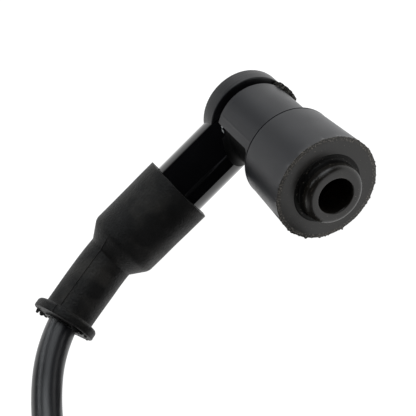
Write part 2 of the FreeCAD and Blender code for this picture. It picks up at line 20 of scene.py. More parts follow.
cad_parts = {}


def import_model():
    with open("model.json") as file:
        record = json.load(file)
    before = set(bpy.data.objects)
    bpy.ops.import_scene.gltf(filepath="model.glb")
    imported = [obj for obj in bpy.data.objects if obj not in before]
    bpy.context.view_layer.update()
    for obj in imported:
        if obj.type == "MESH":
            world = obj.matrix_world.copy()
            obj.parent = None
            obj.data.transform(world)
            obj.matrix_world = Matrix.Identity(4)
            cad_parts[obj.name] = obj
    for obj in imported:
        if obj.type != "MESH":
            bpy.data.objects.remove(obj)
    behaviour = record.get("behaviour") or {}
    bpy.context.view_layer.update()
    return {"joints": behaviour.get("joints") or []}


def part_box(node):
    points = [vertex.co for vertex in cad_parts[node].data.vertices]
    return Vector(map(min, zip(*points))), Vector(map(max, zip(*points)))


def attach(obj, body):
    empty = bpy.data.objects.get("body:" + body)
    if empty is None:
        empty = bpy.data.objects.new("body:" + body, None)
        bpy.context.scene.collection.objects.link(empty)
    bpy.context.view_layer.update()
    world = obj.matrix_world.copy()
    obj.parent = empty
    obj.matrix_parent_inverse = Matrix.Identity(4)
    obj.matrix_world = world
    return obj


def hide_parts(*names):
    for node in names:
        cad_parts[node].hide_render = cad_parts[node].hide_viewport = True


LOG = logging.getLogger("ignition_coil")
MM = 0.001
FULL_TURN = 2 * math.pi
Profile = List[Tuple[float, float]]
TreeEnds = Tuple[bpy.types.NodeTree, bpy.types.Node, bpy.types.Node]


# ---------------------------------------------------------------- finishes


class Pattern(Enum):
    """How a finish varies over its surface."""

    GRAIN = "fine moulded grain"
    STREAKS = "lines drawn round the barrel's axis"
    SHEETS = "edges of stacked steel sheets"
    DRAWN = "faint lines left by an extruder"
    TURNS = "turns of thin wire"


@dataclass(frozen=True)
class Finish:
    """One surface finish, made into a node material.

    Attributes:
        name: what the finish is called, and the start of its material's name.
        slot: the record's material slot that it belongs to; not used.
        colour: base colour, linear.
        tint: how far the colour drifts to its lighter or darker patch, as a share.
        roughness: lowest and highest roughness over the surface.
        grain: size of the finest bumps, in millimetres.
        relief: height of those bumps, in millimetres.
        pattern: what the bumps follow.
        metallic: share of metal.
        specular: the shader's specular level.
        coat: weight of a clear coat.
        sheen: weight of a dusty sheen.
        specks: how thickly pale dust specks lie on it, up to 1.
        smudge: how strongly dusty smudges show on it, up to 1.
    """

    name: str
    slot: str
    colour: Tuple[float, float, float]
    tint: float = 0.15
    roughness: Tuple[float, float] = (0.4, 0.5)
    grain: float = 0.25
    relief: float = 0.01
    pattern: Pattern = Pattern.GRAIN
    metallic: float = 0.0
    specular: float = 0.5
    coat: float = 0.0
    sheen: float = 0.0
    specks: float = 0.0
    smudge: float = 0.0

    def stretch(self) -> Tuple[float, float, float]:
        """Cycles per metre of the fine pattern along each row axis.

        Returns:
            The cycles along X, Y and Z.
        """
        fine = 1.0 / (self.grain * MM)
        if self.pattern is Pattern.STREAKS:
            return fine * 0.04, fine, fine * 0.04
        if self.pattern is Pattern.SHEETS:
            return fine * 0.05, fine * 0.05, fine
        if self.pattern is Pattern.TURNS:
            return fine, fine * 0.02, fine * 0.02
        if self.pattern is Pattern.DRAWN:
            return fine, fine * 0.3, fine
        return fine, fine, fine

    def build(self) -> bpy.types.Material:
        """Makes the material, or finds it if it is there already.

        Returns:
            The material.
        """
        label = f"{self.name}_finish"
        found = bpy.data.materials.get(label)
        if found:
            return found
        material = bpy.data.materials.new(label)
        material.use_nodes = True
        tree = material.node_tree
        shader = tree.nodes["Principled BSDF"]
        shader.inputs["Metallic"].default_value = self.metallic
        shader.inputs["Specular IOR Level"].default_value = self.specular
        shader.inputs["Coat Weight"].default_value = self.coat
        shader.inputs["Coat Roughness"].default_value = 0.05
        shader.inputs["Sheen Weight"].default_value = self.sheen
        shader.inputs["Sheen Roughness"].default_value = 0.6
        place = tree.nodes.new("ShaderNodeTexCoord")
        fine = self.noise(tree, place, self.stretch(), 3.0)
        broad = self.noise(tree, place, (160.0, 160.0, 160.0), 6.0)
        self.paint(tree, shader, fine if self.pattern is Pattern.STREAKS else broad, place)
        self.roughen(tree, shader, broad, fine)
        bump = tree.nodes.new("ShaderNodeBump")
        bump.inputs["Strength"].default_value = 1.0
        bump.inputs["Distance"].default_value = self.relief * MM
        tree.links.new(fine.outputs["Fac"], bump.inputs["Height"])
        tree.links.new(bump.outputs["Normal"], shader.inputs["Normal"])
        return material

    @staticmethod
    def noise(
        tree: bpy.types.NodeTree,
        place: bpy.types.Node,
        scale: Tuple[float, float, float],
        detail: float,
    ) -> bpy.types.Node:
        """Adds a noise texture on object coordinates.

        Args:
            tree: the material's nodes.
            place: its texture coordinate node.
            scale: cycles per metre along X, Y and Z.
            detail: octaves of the noise.

        Returns:
            The noise node.
        """
        mapping = tree.nodes.new("ShaderNodeMapping")
        mapping.inputs["Scale"].default_value = scale
        noise = tree.nodes.new("ShaderNodeTexNoise")
        noise.inputs["Scale"].default_value = 1.0
        noise.inputs["Detail"].default_value = detail
        tree.links.new(place.outputs["Object"], mapping.inputs["Vector"])
        tree.links.new(mapping.outputs["Vector"], noise.inputs["Vector"])
        return noise

    def paint(
        self,
        tree: bpy.types.NodeTree,
        shader: bpy.types.Node,
        drift: bpy.types.Node,
        place: bpy.types.Node,
    ) -> None:
        """Drifts the base colour from patch to patch, and lays dust smudges and specks over it.

        Args:
            tree: the material's nodes.
            shader: its shader node.
            drift: the noise node that the colour drifts with.
            place: its texture coordinate node.
        """
        ramp = tree.nodes.new("ShaderNodeValToRGB")
        low, high = ramp.color_ramp.elements
        low.position, high.position = 0.35, 0.68
        low.color = (*[c * (1 - self.tint) for c in self.colour], 1)
        high.color = (*[c * (1 + self.tint) for c in self.colour], 1)
        tree.links.new(drift.outputs["Fac"], ramp.inputs["Fac"])
        colour = ramp.outputs["Color"]
        if self.smudge:
            patches = self.noise(tree, place, (150.0, 150.0, 150.0), 10.0)
            colour = self.overlay(tree, colour, patches, (0.48, 0.66), self.smudge)
        if self.specks:
            dots = self.noise(tree, place, (2600.0, 2600.0, 2600.0), 1.0)
            start = 0.72 - 0.2 * self.specks
            colour = self.overlay(tree, colour, dots, (start, start + 0.06), 0.9)
        tree.links.new(colour, shader.inputs["Base Color"])

    @staticmethod
    def overlay(
        tree: bpy.types.NodeTree,
        colour: bpy.types.NodeSocket,
        mask: bpy.types.Node,
        limits: Tuple[float, float],
        weight: float,
    ) -> bpy.types.NodeSocket:
        """Lays pale dust over a colour wherever a noise is high.

        Args:
            tree: the material's nodes.
            colour: the socket the colour comes from.
            mask: the noise node.
            limits: the noise values where the dust starts and where it is full.
            weight: how much full dust covers.

        Returns:
            The socket the dusted colour comes from.
        """
        veil = tree.nodes.new("ShaderNodeValToRGB")
        start, end = veil.color_ramp.elements
        start.position, end.position = limits
        start.color = (0, 0, 0, 1)
        end.color = (weight, weight, weight, 1)
        tree.links.new(mask.outputs["Fac"], veil.inputs["Fac"])
        mix = tree.nodes.new("ShaderNodeMix")
        mix.data_type = "RGBA"
        mix.inputs["B"].default_value = (0.12, 0.108, 0.09, 1)
        tree.links.new(veil.outputs["Color"], mix.inputs["Factor"])
        tree.links.new(colour, mix.inputs["A"])
        return mix.outputs["Result"]

    def roughen(
        self,
        tree: bpy.types.NodeTree,
        shader: bpy.types.Node,
        broad: bpy.types.Node,
        fine: bpy.types.Node,
    ) -> None:
        """Varies the roughness with both patterns.

        Args:
            tree: the material's nodes.
            shader: its shader node.
            broad: the noise node of the broad pattern.
            fine: the noise node of the fine pattern.
        """
        both = tree.nodes.new("ShaderNodeMath")
        both.operation = "ADD"
        spread = tree.nodes.new("ShaderNodeMapRange")
        spread.inputs["From Min"].default_value = 0.7
        spread.inputs["From Max"].default_value = 1.3
        spread.inputs["To Min"].default_value = self.roughness[0]
        spread.inputs["To Max"].default_value = self.roughness[1]
        tree.links.new(broad.outputs["Fac"], both.inputs[0])
        tree.links.new(fine.outputs["Fac"], both.inputs[1])
        tree.links.new(both.outputs["Value"], spread.inputs["Value"])
        tree.links.new(spread.outputs["Result"], shader.inputs["Roughness"])


PHENOLIC = Finish(
    "polished_phenolic", "phenolic", (0.0022, 0.0022, 0.0026),
    tint=0.2, roughness=(0.03, 0.07), grain=2.0, relief=0.004, coat=0.3,
)
RIM_PHENOLIC = Finish(
    "satin_phenolic", "phenolic", (0.007, 0.007, 0.0085),
    tint=0.35, roughness=(0.34, 0.5), grain=0.3, relief=0.05, pattern=Pattern.STREAKS,
)
# Painted shade: a dull near-black phenolic that stands in for the shade on the barrel and in the crease
# in front of the arm.
CREASE_SHADE_PHENOLIC = Finish(
    "unpolished_phenolic", "phenolic", (0.0018, 0.0018, 0.002),
    tint=0.2, roughness=(0.5, 0.6), grain=0.3, relief=0.01, specular=0.12,
)
GATE_PHENOLIC = Finish(
    "broken_gate", "phenolic", (0.020, 0.0185, 0.016),
    tint=0.5, roughness=(0.3, 0.6), grain=0.3, relief=0.3, specks=0.9,
)
BOOT_RUBBER = Finish(
    "satin_rubber", "boot_rubber", (0.0072, 0.0078, 0.0106),
    tint=0.06, roughness=(0.35, 0.45), grain=0.16, relief=0.004,
)
FACE_RUBBER = Finish(
    "face_rubber", "boot_rubber", (0.0085, 0.0072, 0.0056),
    tint=0.15, roughness=(0.27, 0.36), grain=0.3, relief=0.006, specks=0.12, smudge=0.04,
)
FLASH_RUBBER = Finish(
    "flash_rubber", "boot_rubber", (0.022, 0.019, 0.015),
    tint=0.5, roughness=(0.35, 0.6), grain=0.25, relief=0.12, specks=0.9,
)
# Painted shade: a darker, duller rubber on the collar and the lower side of the nose, standing in for
# the shade round the nose's root.
NOSE_ROOT_SHADE_RUBBER = Finish(
    "shaded_rubber", "boot_rubber", (0.003, 0.0028, 0.0025),
    tint=0.3, roughness=(0.45, 0.55), grain=0.2, relief=0.01, specular=0.18, specks=0.1,
)
CUFF_RUBBER = Finish(
    "matte_rubber", "cuff_rubber", (0.0022, 0.0021, 0.002),
    tint=0.6, roughness=(0.45, 0.7), grain=0.45, relief=0.12, specular=0.36, smudge=0.13,
)
LEAD_RUBBER = Finish(
    "lead_rubber", "lead_rubber", (0.012, 0.0125, 0.0145),
    tint=0.08, roughness=(0.3, 0.36), grain=0.5, relief=0.004, pattern=Pattern.DRAWN, specular=0.75,
)
GLAND_RUBBER = Finish("gland_rubber", "rubber", (0.02, 0.02, 0.02), roughness=(0.5, 0.6))
CASE_PLASTIC = Finish(
    "case_plastic", "case_plastic", (0.016, 0.016, 0.018),
    tint=0.12, roughness=(0.36, 0.5), grain=0.3, relief=0.02,
)
POTTING = Finish(
    "potting_epoxy", "potting_epoxy", (0.006, 0.0055, 0.0055),
    tint=0.35, roughness=(0.07, 0.2), grain=5.0, relief=0.15, coat=0.3,
)
SHEET_STEEL = Finish(
    "sheet_steel", "lamination_steel", (0.21, 0.215, 0.235),
    tint=0.3, roughness=(0.32, 0.52), grain=0.5, relief=0.02, pattern=Pattern.SHEETS, metallic=1.0,
)
RIVET_STEEL = Finish(
    "rivet_steel", "rivet_steel", (0.46, 0.46, 0.47),
    tint=0.12, roughness=(0.28, 0.42), grain=0.4, relief=0.01, metallic=1.0,
)
TINNED = Finish(
    "tinned_steel", "tinned_steel", (0.62, 0.61, 0.58),
    tint=0.08, roughness=(0.2, 0.34), grain=0.4, relief=0.006, metallic=1.0,
)
BRASS = Finish(
    "turned_brass", "brass", (0.62, 0.42, 0.15),
    tint=0.1, roughness=(0.18, 0.3), grain=0.12, relief=0.008, pattern=Pattern.STREAKS, metallic=1.0,
)
SPRING_STEEL = Finish(
    "spring_steel", "spring_steel", (0.42, 0.42, 0.44),
    tint=0.1, roughness=(0.22, 0.32), grain=0.3, relief=0.005, metallic=1.0,
)
COPPER = Finish(
    "enamelled_copper", "copper_wire", (0.50, 0.17, 0.06),
    tint=0.15, roughness=(0.25, 0.35), grain=0.3, relief=0.1, pattern=Pattern.TURNS, metallic=1.0,
)
NYLON = Finish("bobbin_nylon", "bobbin_nylon", (0.62, 0.58, 0.47), roughness=(0.4, 0.5))
BOARD = Finish("board_laminate", "board_laminate", (0.02, 0.09, 0.035), roughness=(0.25, 0.35))
CHIP = Finish("chip_epoxy", "chip_epoxy", (0.012, 0.012, 0.012), roughness=(0.5, 0.6))
CERAMIC = Finish("resistor_ceramic", "resistor_ceramic", (0.7, 0.67, 0.6), roughness=(0.5, 0.65))


# ---------------------------------------------------------------- shapes


@dataclass(frozen=True)
class Axis:
    """A line in the row frame that round pieces are turned about.

    Attributes:
        origin: a point on it, in metres.
        along: its direction.
        zero: the direction of angle 0, square to it.
    """

    origin: Vector
    along: Vector
    zero: Vector

    @property
    def side(self) -> Vector:
        """The direction of angle 90 degrees."""
        return self.along.cross(self.zero)

    def point(self, radius: float, angle: float, distance: float) -> Vector:
        """The row-frame point at a radius, an angle and a distance along, in millimetres and radians."""
        across = self.zero * math.cos(angle) + self.side * math.sin(angle)
        return self.origin + (across * radius + self.along * distance) * MM


def rounded(corners: Sequence[Tuple[float, float, float]], steps: int = 6) -> Profile:
    """Rounds the corners of an outline.

    Args:
        corners: radius, distance and rounding radius of each corner, as a closed loop.
        steps: pieces in each rounding arc.

    Returns:
        The outline's points, as radius and distance.
    """
    outline: Profile = []
    count = len(corners)
    for index, (radius, distance, fillet) in enumerate(corners):
        here = Vector((radius, distance))
        before = Vector(corners[index - 1][:2]) - here
        after = Vector(corners[(index + 1) % count][:2]) - here
        if fillet <= 0:
            outline.append((radius, distance))
            continue
        half = before.angle(after) / 2
        reach = min(fillet / math.tan(half), 0.48 * before.length, 0.48 * after.length)
        turn = reach * math.tan(half)
        middle = here + (before.normalized() + after.normalized()).normalized() * (turn / math.sin(half))
        start = here + before.normalized() * reach - middle
        end = here + after.normalized() * reach - middle
        sweep = start.angle_signed(end)
        for step in range(steps + 1):
            bearing = -sweep * step / steps
            spoke = Matrix.Rotation(bearing, 2) @ start
            outline.append(tuple(middle + spoke))
    return outline


def stepped(outline: Profile, longest: float) -> Profile:
    """Divides the long straight stretches of an outline that is a closed loop.

    Args:
        outline: the loop's points, as radius and distance.
        longest: the longest step left, in millimetres.

    Returns:
        The loop with its further points.
    """
    result: Profile = []
    for (r0, d0), (r1, d1) in zip(outline, outline[1:] + outline[:1]):
        pieces = max(1, math.ceil(math.hypot(r1 - r0, d1 - d0) / longest))
        result += [(r0 + (r1 - r0) * k / pieces, d0 + (d1 - d0) * k / pieces) for k in range(pieces)]
    return result


def placed(name: str, data: bpy.types.ID) -> bpy.types.Object:
    """Puts a new object into the scene.

    Args:
        name: the object's name.
        data: its mesh, curve, lamp or camera.

    Returns:
        The object, unturned and at the origin.
    """
    thing = bpy.data.objects.new(name, data)
    bpy.context.scene.collection.objects.link(thing)
    return thing


def mesh_object(name: str, points: Sequence[Vector], faces: Sequence[Sequence[int]]) -> bpy.types.Object:
    """Makes an object from points and faces, with its normals pointing outwards.

    Args:
        name: the object's name.
        points: its points, in metres.
        faces: the point numbers of each face.

    Returns:
        The object.
    """
    mesh = bpy.data.meshes.new(name)
    mesh.from_pydata([tuple(p) for p in points], [], [tuple(f) for f in faces])
    work = bmesh.new()
    work.from_mesh(mesh)
    bmesh.ops.remove_doubles(work, verts=work.verts, dist=1e-7)
    bmesh.ops.recalc_face_normals(work, faces=work.faces)
    work.to_mesh(mesh)
    work.free()
    return placed(name, mesh)


def woven(rings: Sequence[Sequence[Vector]], looped: bool) -> Tuple[List[Vector], List[List[int]]]:
    """Joins closed rings of points, each to the next, into quads.

    Args:
        rings: rings with the same number of points.
        looped: whether the last ring joins the first, as on a tube wall, or the ends are closed.

    Returns:
        The points and the faces.
    """
    size = len(rings[0])
    points = [p for ring in rings for p in ring]
    faces: List[List[int]] = []
    pairs = [(i, i + 1) for i in range(len(rings) - 1)]
    if looped:
        pairs.append((len(rings) - 1, 0))
    for low, high in pairs:
        for k in range(size):
            n = (k + 1) % size
            faces.append([low * size + k, low * size + n, high * size + n, high * size + k])
    if not looped:
        for ring_start in (0, (len(rings) - 1) * size):
            centre = len(points)
            points.append(sum((points[ring_start + k] for k in range(size)), Vector()) / size)
            faces += [[centre, ring_start + k, ring_start + (k + 1) % size] for k in range(size)]
    return points, faces


def lathe(
    name: str,
    axis: Axis,
    outline: Profile,
    segments: int = 128,
    swell: Callable[[float, float, float], float] = lambda angle, radius, distance: 0.0,
) -> bpy.types.Object:
    """Turns a closed outline about an axis.

    Args:
        name: the object's name.
        axis: the axis it is turned about.
        outline: radius and distance of each point of the closed loop.
        segments: points round the axis.
        swell: change of radius at an angle, a radius and a distance, in millimetres.

    Returns:
        The object.
    """
    angles = [FULL_TURN * k / segments for k in range(segments)]
    rings = [
        [axis.point(radius + swell(angle, radius, distance), angle, distance) for angle in angles]
        for radius, distance in outline
    ]
    return mesh_object(name, *woven(rings, True))


def smooth(thing: bpy.types.Object, degrees: float = 35.0) -> bpy.types.Object:
    """Shades an object smooth, with its sharper edges left crisp.

    Args:
        thing: the object.
        degrees: the angle above which an edge stays crisp.

    Returns:
        The same object.
    """
    mesh = thing.data
    mesh.shade_smooth()
    mesh.set_sharp_from_angle(angle=math.radians(degrees))
    return thing


def applied(thing: bpy.types.Object) -> bpy.types.Object:
    """Makes an object's modifiers part of its mesh.

    Args:
        thing: the object.

    Returns:
        The same object.
    """
    graph = bpy.context.evaluated_depsgraph_get()
    mesh = bpy.data.meshes.new_from_object(thing.evaluated_get(graph))
    thing.modifiers.clear()
    old = thing.data
    thing.data = mesh
    mesh.name = thing.name
    if old.users == 0 and isinstance(old, bpy.types.Mesh):
        bpy.data.meshes.remove(old)
    return thing


def cut(base: bpy.types.Object, tool: bpy.types.Object) -> bpy.types.Object:
    """Cuts one object from another.

    Args:
        base: the object that is cut.
        tool: the object that is cut away, and is then removed.

    Returns:
        The object that was cut.
    """
    boolean = base.modifiers.new("boolean", "BOOLEAN")
    boolean.operation = "DIFFERENCE"
    boolean.solver = "EXACT"
    boolean.object = tool
    bpy.context.view_layer.update()
    applied(base)
    bpy.data.objects.remove(tool)
    return base


def bevelled(thing: bpy.types.Object, width: float, segments: int) -> bpy.types.Object:
    """Rounds an object's sharp edges.

    Args:
        thing: the object.
        width: how far the rounding reaches from the edge, in millimetres.
        segments: pieces in each rounding arc.

    Returns:
        The same object.
    """
    bevel = thing.modifiers.new("bevel", "BEVEL")
    bevel.width = width * MM
    bevel.segments = segments
    bevel.limit_method = "ANGLE"
    bevel.angle_limit = math.radians(40)
    bevel.harden_normals = False
    bpy.context.view_layer.update()
    return applied(thing)


def box_between(name: str, low: Vector, high: Vector) -> bpy.types.Object:
    """A box between two corners.

    Args:
        name: the object's name.
        low: its lowest corner, in metres.
        high: its highest corner, in metres.

    Returns:
        The object.
    """
    ends = zip(low, high)
    corners = [Vector(corner) for corner in product(*ends)]
    faces = [(0, 1, 3, 2), (4, 6, 7, 5), (0, 4, 5, 1), (2, 3, 7, 6), (0, 2, 6, 4), (1, 5, 7, 3)]
    return mesh_object(name, corners, faces)


def joined(name: str, things: Sequence[bpy.types.Object]) -> bpy.types.Object:
    """Joins several meshes into one object, and removes the separate ones.

    Args:
        name: the new object's name.
        things: the objects.

    Returns:
        The new object.
    """
    work = bmesh.new()
    for thing in things:
        work.from_mesh(thing.data)
    mesh = bpy.data.meshes.new(name)
    work.to_mesh(mesh)
    work.free()
    for thing in things:
        bpy.data.objects.remove(thing)
    return placed(name, mesh)


def dress(thing: bpy.types.Object, *finishes: Finish) -> bpy.types.Object:
    """Gives an object its finishes.

    Args:
        thing: the object.
        *finishes: the finishes, in the order of the faces' material numbers.

    Returns:
        The same object.
    """
    thing.data.materials.clear()
    for finish in finishes:
        thing.data.materials.append(finish.build())
    return thing


def ripple(angle: float, seed: float, rates: Sequence[int] = (3, 7, 13, 29, 47)) -> float:
    """A fixed uneven wave round a circle.

    Args:
        angle: the place on the circle.
        seed: picks one wave out of many.
        rates: how often each part of the wave repeats round the circle, strongest first.

    Returns:
        The wave's height, from about -1 to 1.
    """
    whole = 0.0
    for order, rate in enumerate(rates, 1):
        whole += math.sin(rate * angle + seed * (rate + 1.7)) / math.sqrt(order)
    return whole / 2.2


def slab_faces(across: int, along: int) -> List[List[int]]:
    """Faces of a slab whose top and bottom are grids of points, given row by row, top first.

    Args:
        across: squares in each row.
        along: rows of squares.

    Returns:
        The point numbers of each face: both grids, and the strip round the edge.
    """
    row = across + 1
    lift = row * (along + 1)
    faces: List[List[int]] = []
    for corner in (j * row + i for j in range(along) for i in range(across)):
        faces.append([corner, corner + 1, corner + 1 + row, corner + row])
        faces.append([lift + corner, lift + corner + row, lift + corner + 1 + row, lift + corner + 1])
    border = [j * row for j in range(along + 1)] + [along * row + i for i in range(1, row)]
    border += [j * row + across for j in range(along - 1, -1, -1)] + list(range(across - 1, 0, -1))
    faces += [[a, b, lift + b, lift + a] for a, b in zip(border, border[1:] + border[:1])]
    return faces


# ---------------------------------------------------------------- plug cap


@dataclass
class PlugCap:
    """The elbow moulding of the plug cap, its rim, tab and end cover."""

    elbow: Vector
    barrel_radius: float = 8.5
    barrel_front: float = 31.5
    chamber_radius: float = 5.2
    chamber_front: float = 15.4
    socket_radius: float = 4.1
    socket_front: float = 27.5
    rim_radius: float = 10.3
    rim_back: float = -4.2
    rim_front: float = 0.3
    arm_radius: float = 6.75
    arm_length: float = 42.0
    lead_way: float = 3.6
    lead_start: float = 20.0
    crease: float = 2.0
    root_front: float = 4.4
    tab_reach: float = 3.5
    tab_thickness: float = 1.1
    tab_half_angle: float = math.radians(17)
    cover_rise: float = 2.4

    @property
    def barrel_axis(self) -> Axis:
        """The barrel's axis, towards the spark plug, with angle 0 at the arm and 90 degrees below it."""
        return Axis(self.elbow, Vector((0, -1, 0)), Vector((-1, 0, 0)))

    def build(self) -> None:
        """Makes and dresses every piece of the cap."""
        elbow = joined("cap_elbow", [self.barrel(), self.arm()])
        smooth(dress(elbow, PHENOLIC, CREASE_SHADE_PHENOLIC), 50)
        self.shade_root(elbow)
        rim = smooth(dress(self.rim(), RIM_PHENOLIC), 50)
        tab = smooth(dress(self.tab(), GATE_PHENOLIC), 50)
        cover = smooth(dress(self.cover(), RIM_PHENOLIC), 50)
        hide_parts("cap_body")
        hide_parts("end_cover")
        for piece in (elbow, rim, tab, cover):
            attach(piece, "cap")
            LOG.info("plug cap: %s", piece.name)

    def shade_root(self, elbow: bpy.types.Object) -> None:
        """Paints shade on the barrel and on the fillet in front of the arm: a dull near-black finish
        keeps reflections off them, standing in for the shade in the crease.

        Args:
            elbow: the barrel and arm in one mesh.
        """
        # Painted shade: the barrel and the crease in front of the arm take the dull near-black finish.
        for polygon in elbow.data.polygons:
            offset = (polygon.center - self.elbow) / MM
            out = math.hypot(offset.x, offset.z)
            in_front = -offset.y > self.root_front and out < self.barrel_radius + self.crease + 0.1
            if out < self.barrel_radius + 0.1 or in_front:
                polygon.material_index = 1

    def barrel(self) -> bpy.types.Object:
        """The barrel, bored for its contacts, with a rounded front edge.

        Returns:
            The barrel's tube.
        """
        outline = rounded([
            (self.barrel_radius, self.rim_back, 0.0),
            (self.barrel_radius, self.barrel_front, 0.6),
            (self.chamber_radius, self.barrel_front, 0.3),
            (self.chamber_radius, self.socket_front, 0.0),
            (self.socket_radius, self.socket_front, 0.0),
            (self.socket_radius, self.chamber_front, 0.0),
            (self.chamber_radius, self.chamber_front, 0.0),
            (self.chamber_radius, self.rim_back, 0.0),
        ])
        return lathe("cap_barrel", self.barrel_axis, outline, 144)

    def crease_ring(self, share: float, points: int) -> List[Vector]:
        """One ring of the fillet between arm and barrel.

        Args:
            share: how far the ring is from the barrel, at 0, to the arm, at 1.
            points: points in the ring.

        Returns:
            The ring's points in the row frame.
        """
        ball_barrel = self.barrel_radius + self.crease
        ball_arm = self.arm_radius + self.crease
        ring = []
        for k in range(points):
            angle = FULL_TURN * k / points
            across, up = ball_arm * math.cos(angle), ball_arm * math.sin(angle)
            reach = math.sqrt(ball_barrel ** 2 - across ** 2)
            centre = Vector((reach, across, up))
            foot = Vector((reach, across, 0)) * (self.barrel_radius / ball_barrel)
            on_barrel = foot + Vector((0, 0, up))
            on_arm = self.arm_point(reach, self.arm_radius, angle)
            first, last = (on_barrel - centre).normalized(), (on_arm - centre).normalized()
            ring.append(centre + first.slerp(last, share) * self.crease)
        return [self.from_arm(point) for point in ring]

    def from_arm(self, point: Vector) -> Vector:
        """The row-frame point for one along the arm, along the barrel, and up, in millimetres."""
        return self.elbow + Vector((-point.x, -point.z, point.y)) * MM

    @staticmethod
    def arm_point(reach: float, radius: float, angle: float) -> Vector:
        """The point at an angle round the arm, as along the arm, along the barrel, and up."""
        return Vector((reach, radius * math.cos(angle), radius * math.sin(angle)))

    def arm(self) -> bpy.types.Object:
        """The arm with its fillet to the barrel and the bore for the lead.

        Returns:
            The arm, whose root is sunk into the barrel's wall.
        """
        points, steps = 144, 10
        sunk = Matrix.Diagonal((0.88, 1.0, 0.88))
        rings = [self.crease_ring(step / steps, points) for step in range(steps + 1)]
        rings.insert(0, [self.elbow + sunk @ (point - self.elbow) for point in rings[0]])
        edge = 0.5
        tail = [(self.arm_radius, self.arm_length * 0.5), (self.arm_radius, self.arm_length - edge)]
        tail += [(self.arm_radius - edge * (1 - math.cos(t)), self.arm_length - edge * (1 - math.sin(t)))
                 for t in (math.pi / 6, math.pi / 3, math.pi / 2)]
        tail += [(self.lead_way, self.arm_length), (self.lead_way, self.lead_start)]
        for radius, reach in tail:
            ring = [self.arm_point(reach, radius, FULL_TURN * k / points) for k in range(points)]
            rings.append([self.from_arm(point) for point in ring])
        return mesh_object("cap_arm", *woven(rings, False))

    def rim(self) -> bpy.types.Object:
        """The rim round the barrel's back, with eased edges.

        Returns:
            The rim's ring.
        """
        outline = rounded([
            (self.rim_radius, self.rim_back, 0.5),
            (self.rim_radius, self.rim_front, 0.28),
            (self.barrel_radius - 0.3, self.rim_front, 0.0),
            (self.barrel_radius - 0.3, self.rim_back, 0.0),
        ])
        return lathe("cap_rim", self.barrel_axis, outline, 160)

    def tab(self) -> bpy.types.Object:
        """The broken gate on the rim: a thick rough tongue that reaches over the boot's sleeve.

        Returns:
            The tongue.
        """
        axis = self.barrel_axis
        across, along = 44, 20
        points: List[Vector] = []
        for level, j, i in product((0, 1), range(along + 1), range(across + 1)):
            u, v = i / across * 2 - 1, j / along
            angle = math.pi + u * self.tab_half_angle * (1 - 0.06 * v + 0.03 * ripple(v * 6, 2.0))
            end = self.tab_reach - 1.3 * max(0.0, u) ** 2 - 0.3 * ripple(u * 3.1, 1.0)
            reach = (self.rim_front - 0.6) * (1 - v) + end * v
            rough = 0.1 * ripple(u * 5 + v * 9, 3.0 + level)
            depth = 0.0 if level else self.tab_thickness
            radius = self.rim_radius - 0.05 + 0.5 * v * v - depth + rough * v
            points.append(axis.point(radius, angle, reach))
        return mesh_object("cap_rim_tab", points, slab_faces(across, along))

    def cover(self) -> bpy.types.Object:
        """The low domed cover on the barrel's back.

        Returns:
            The cover.
        """
        wide = self.barrel_radius + 0.1
        axis = self.barrel_axis
        rings = []
        for share in (0.0, 0.12, 0.3, 0.5, 0.7, 0.85, 0.95, 1.0):
            radius = wide * math.cos(share * math.pi / 2) + 0.05
            distance = self.rim_back - self.cover_rise * math.sin(share * math.pi / 2) ** 1.3
            rings.append([axis.point(radius, FULL_TURN * k / 128, distance) for k in range(128)])
        rings.insert(0, [axis.point(wide, FULL_TURN * k / 128, self.rim_back + 0.4) for k in range(128)])
        return mesh_object("cap_end_cover", *woven(rings, False))


# ---------------------------------------------------------------- rubber boots


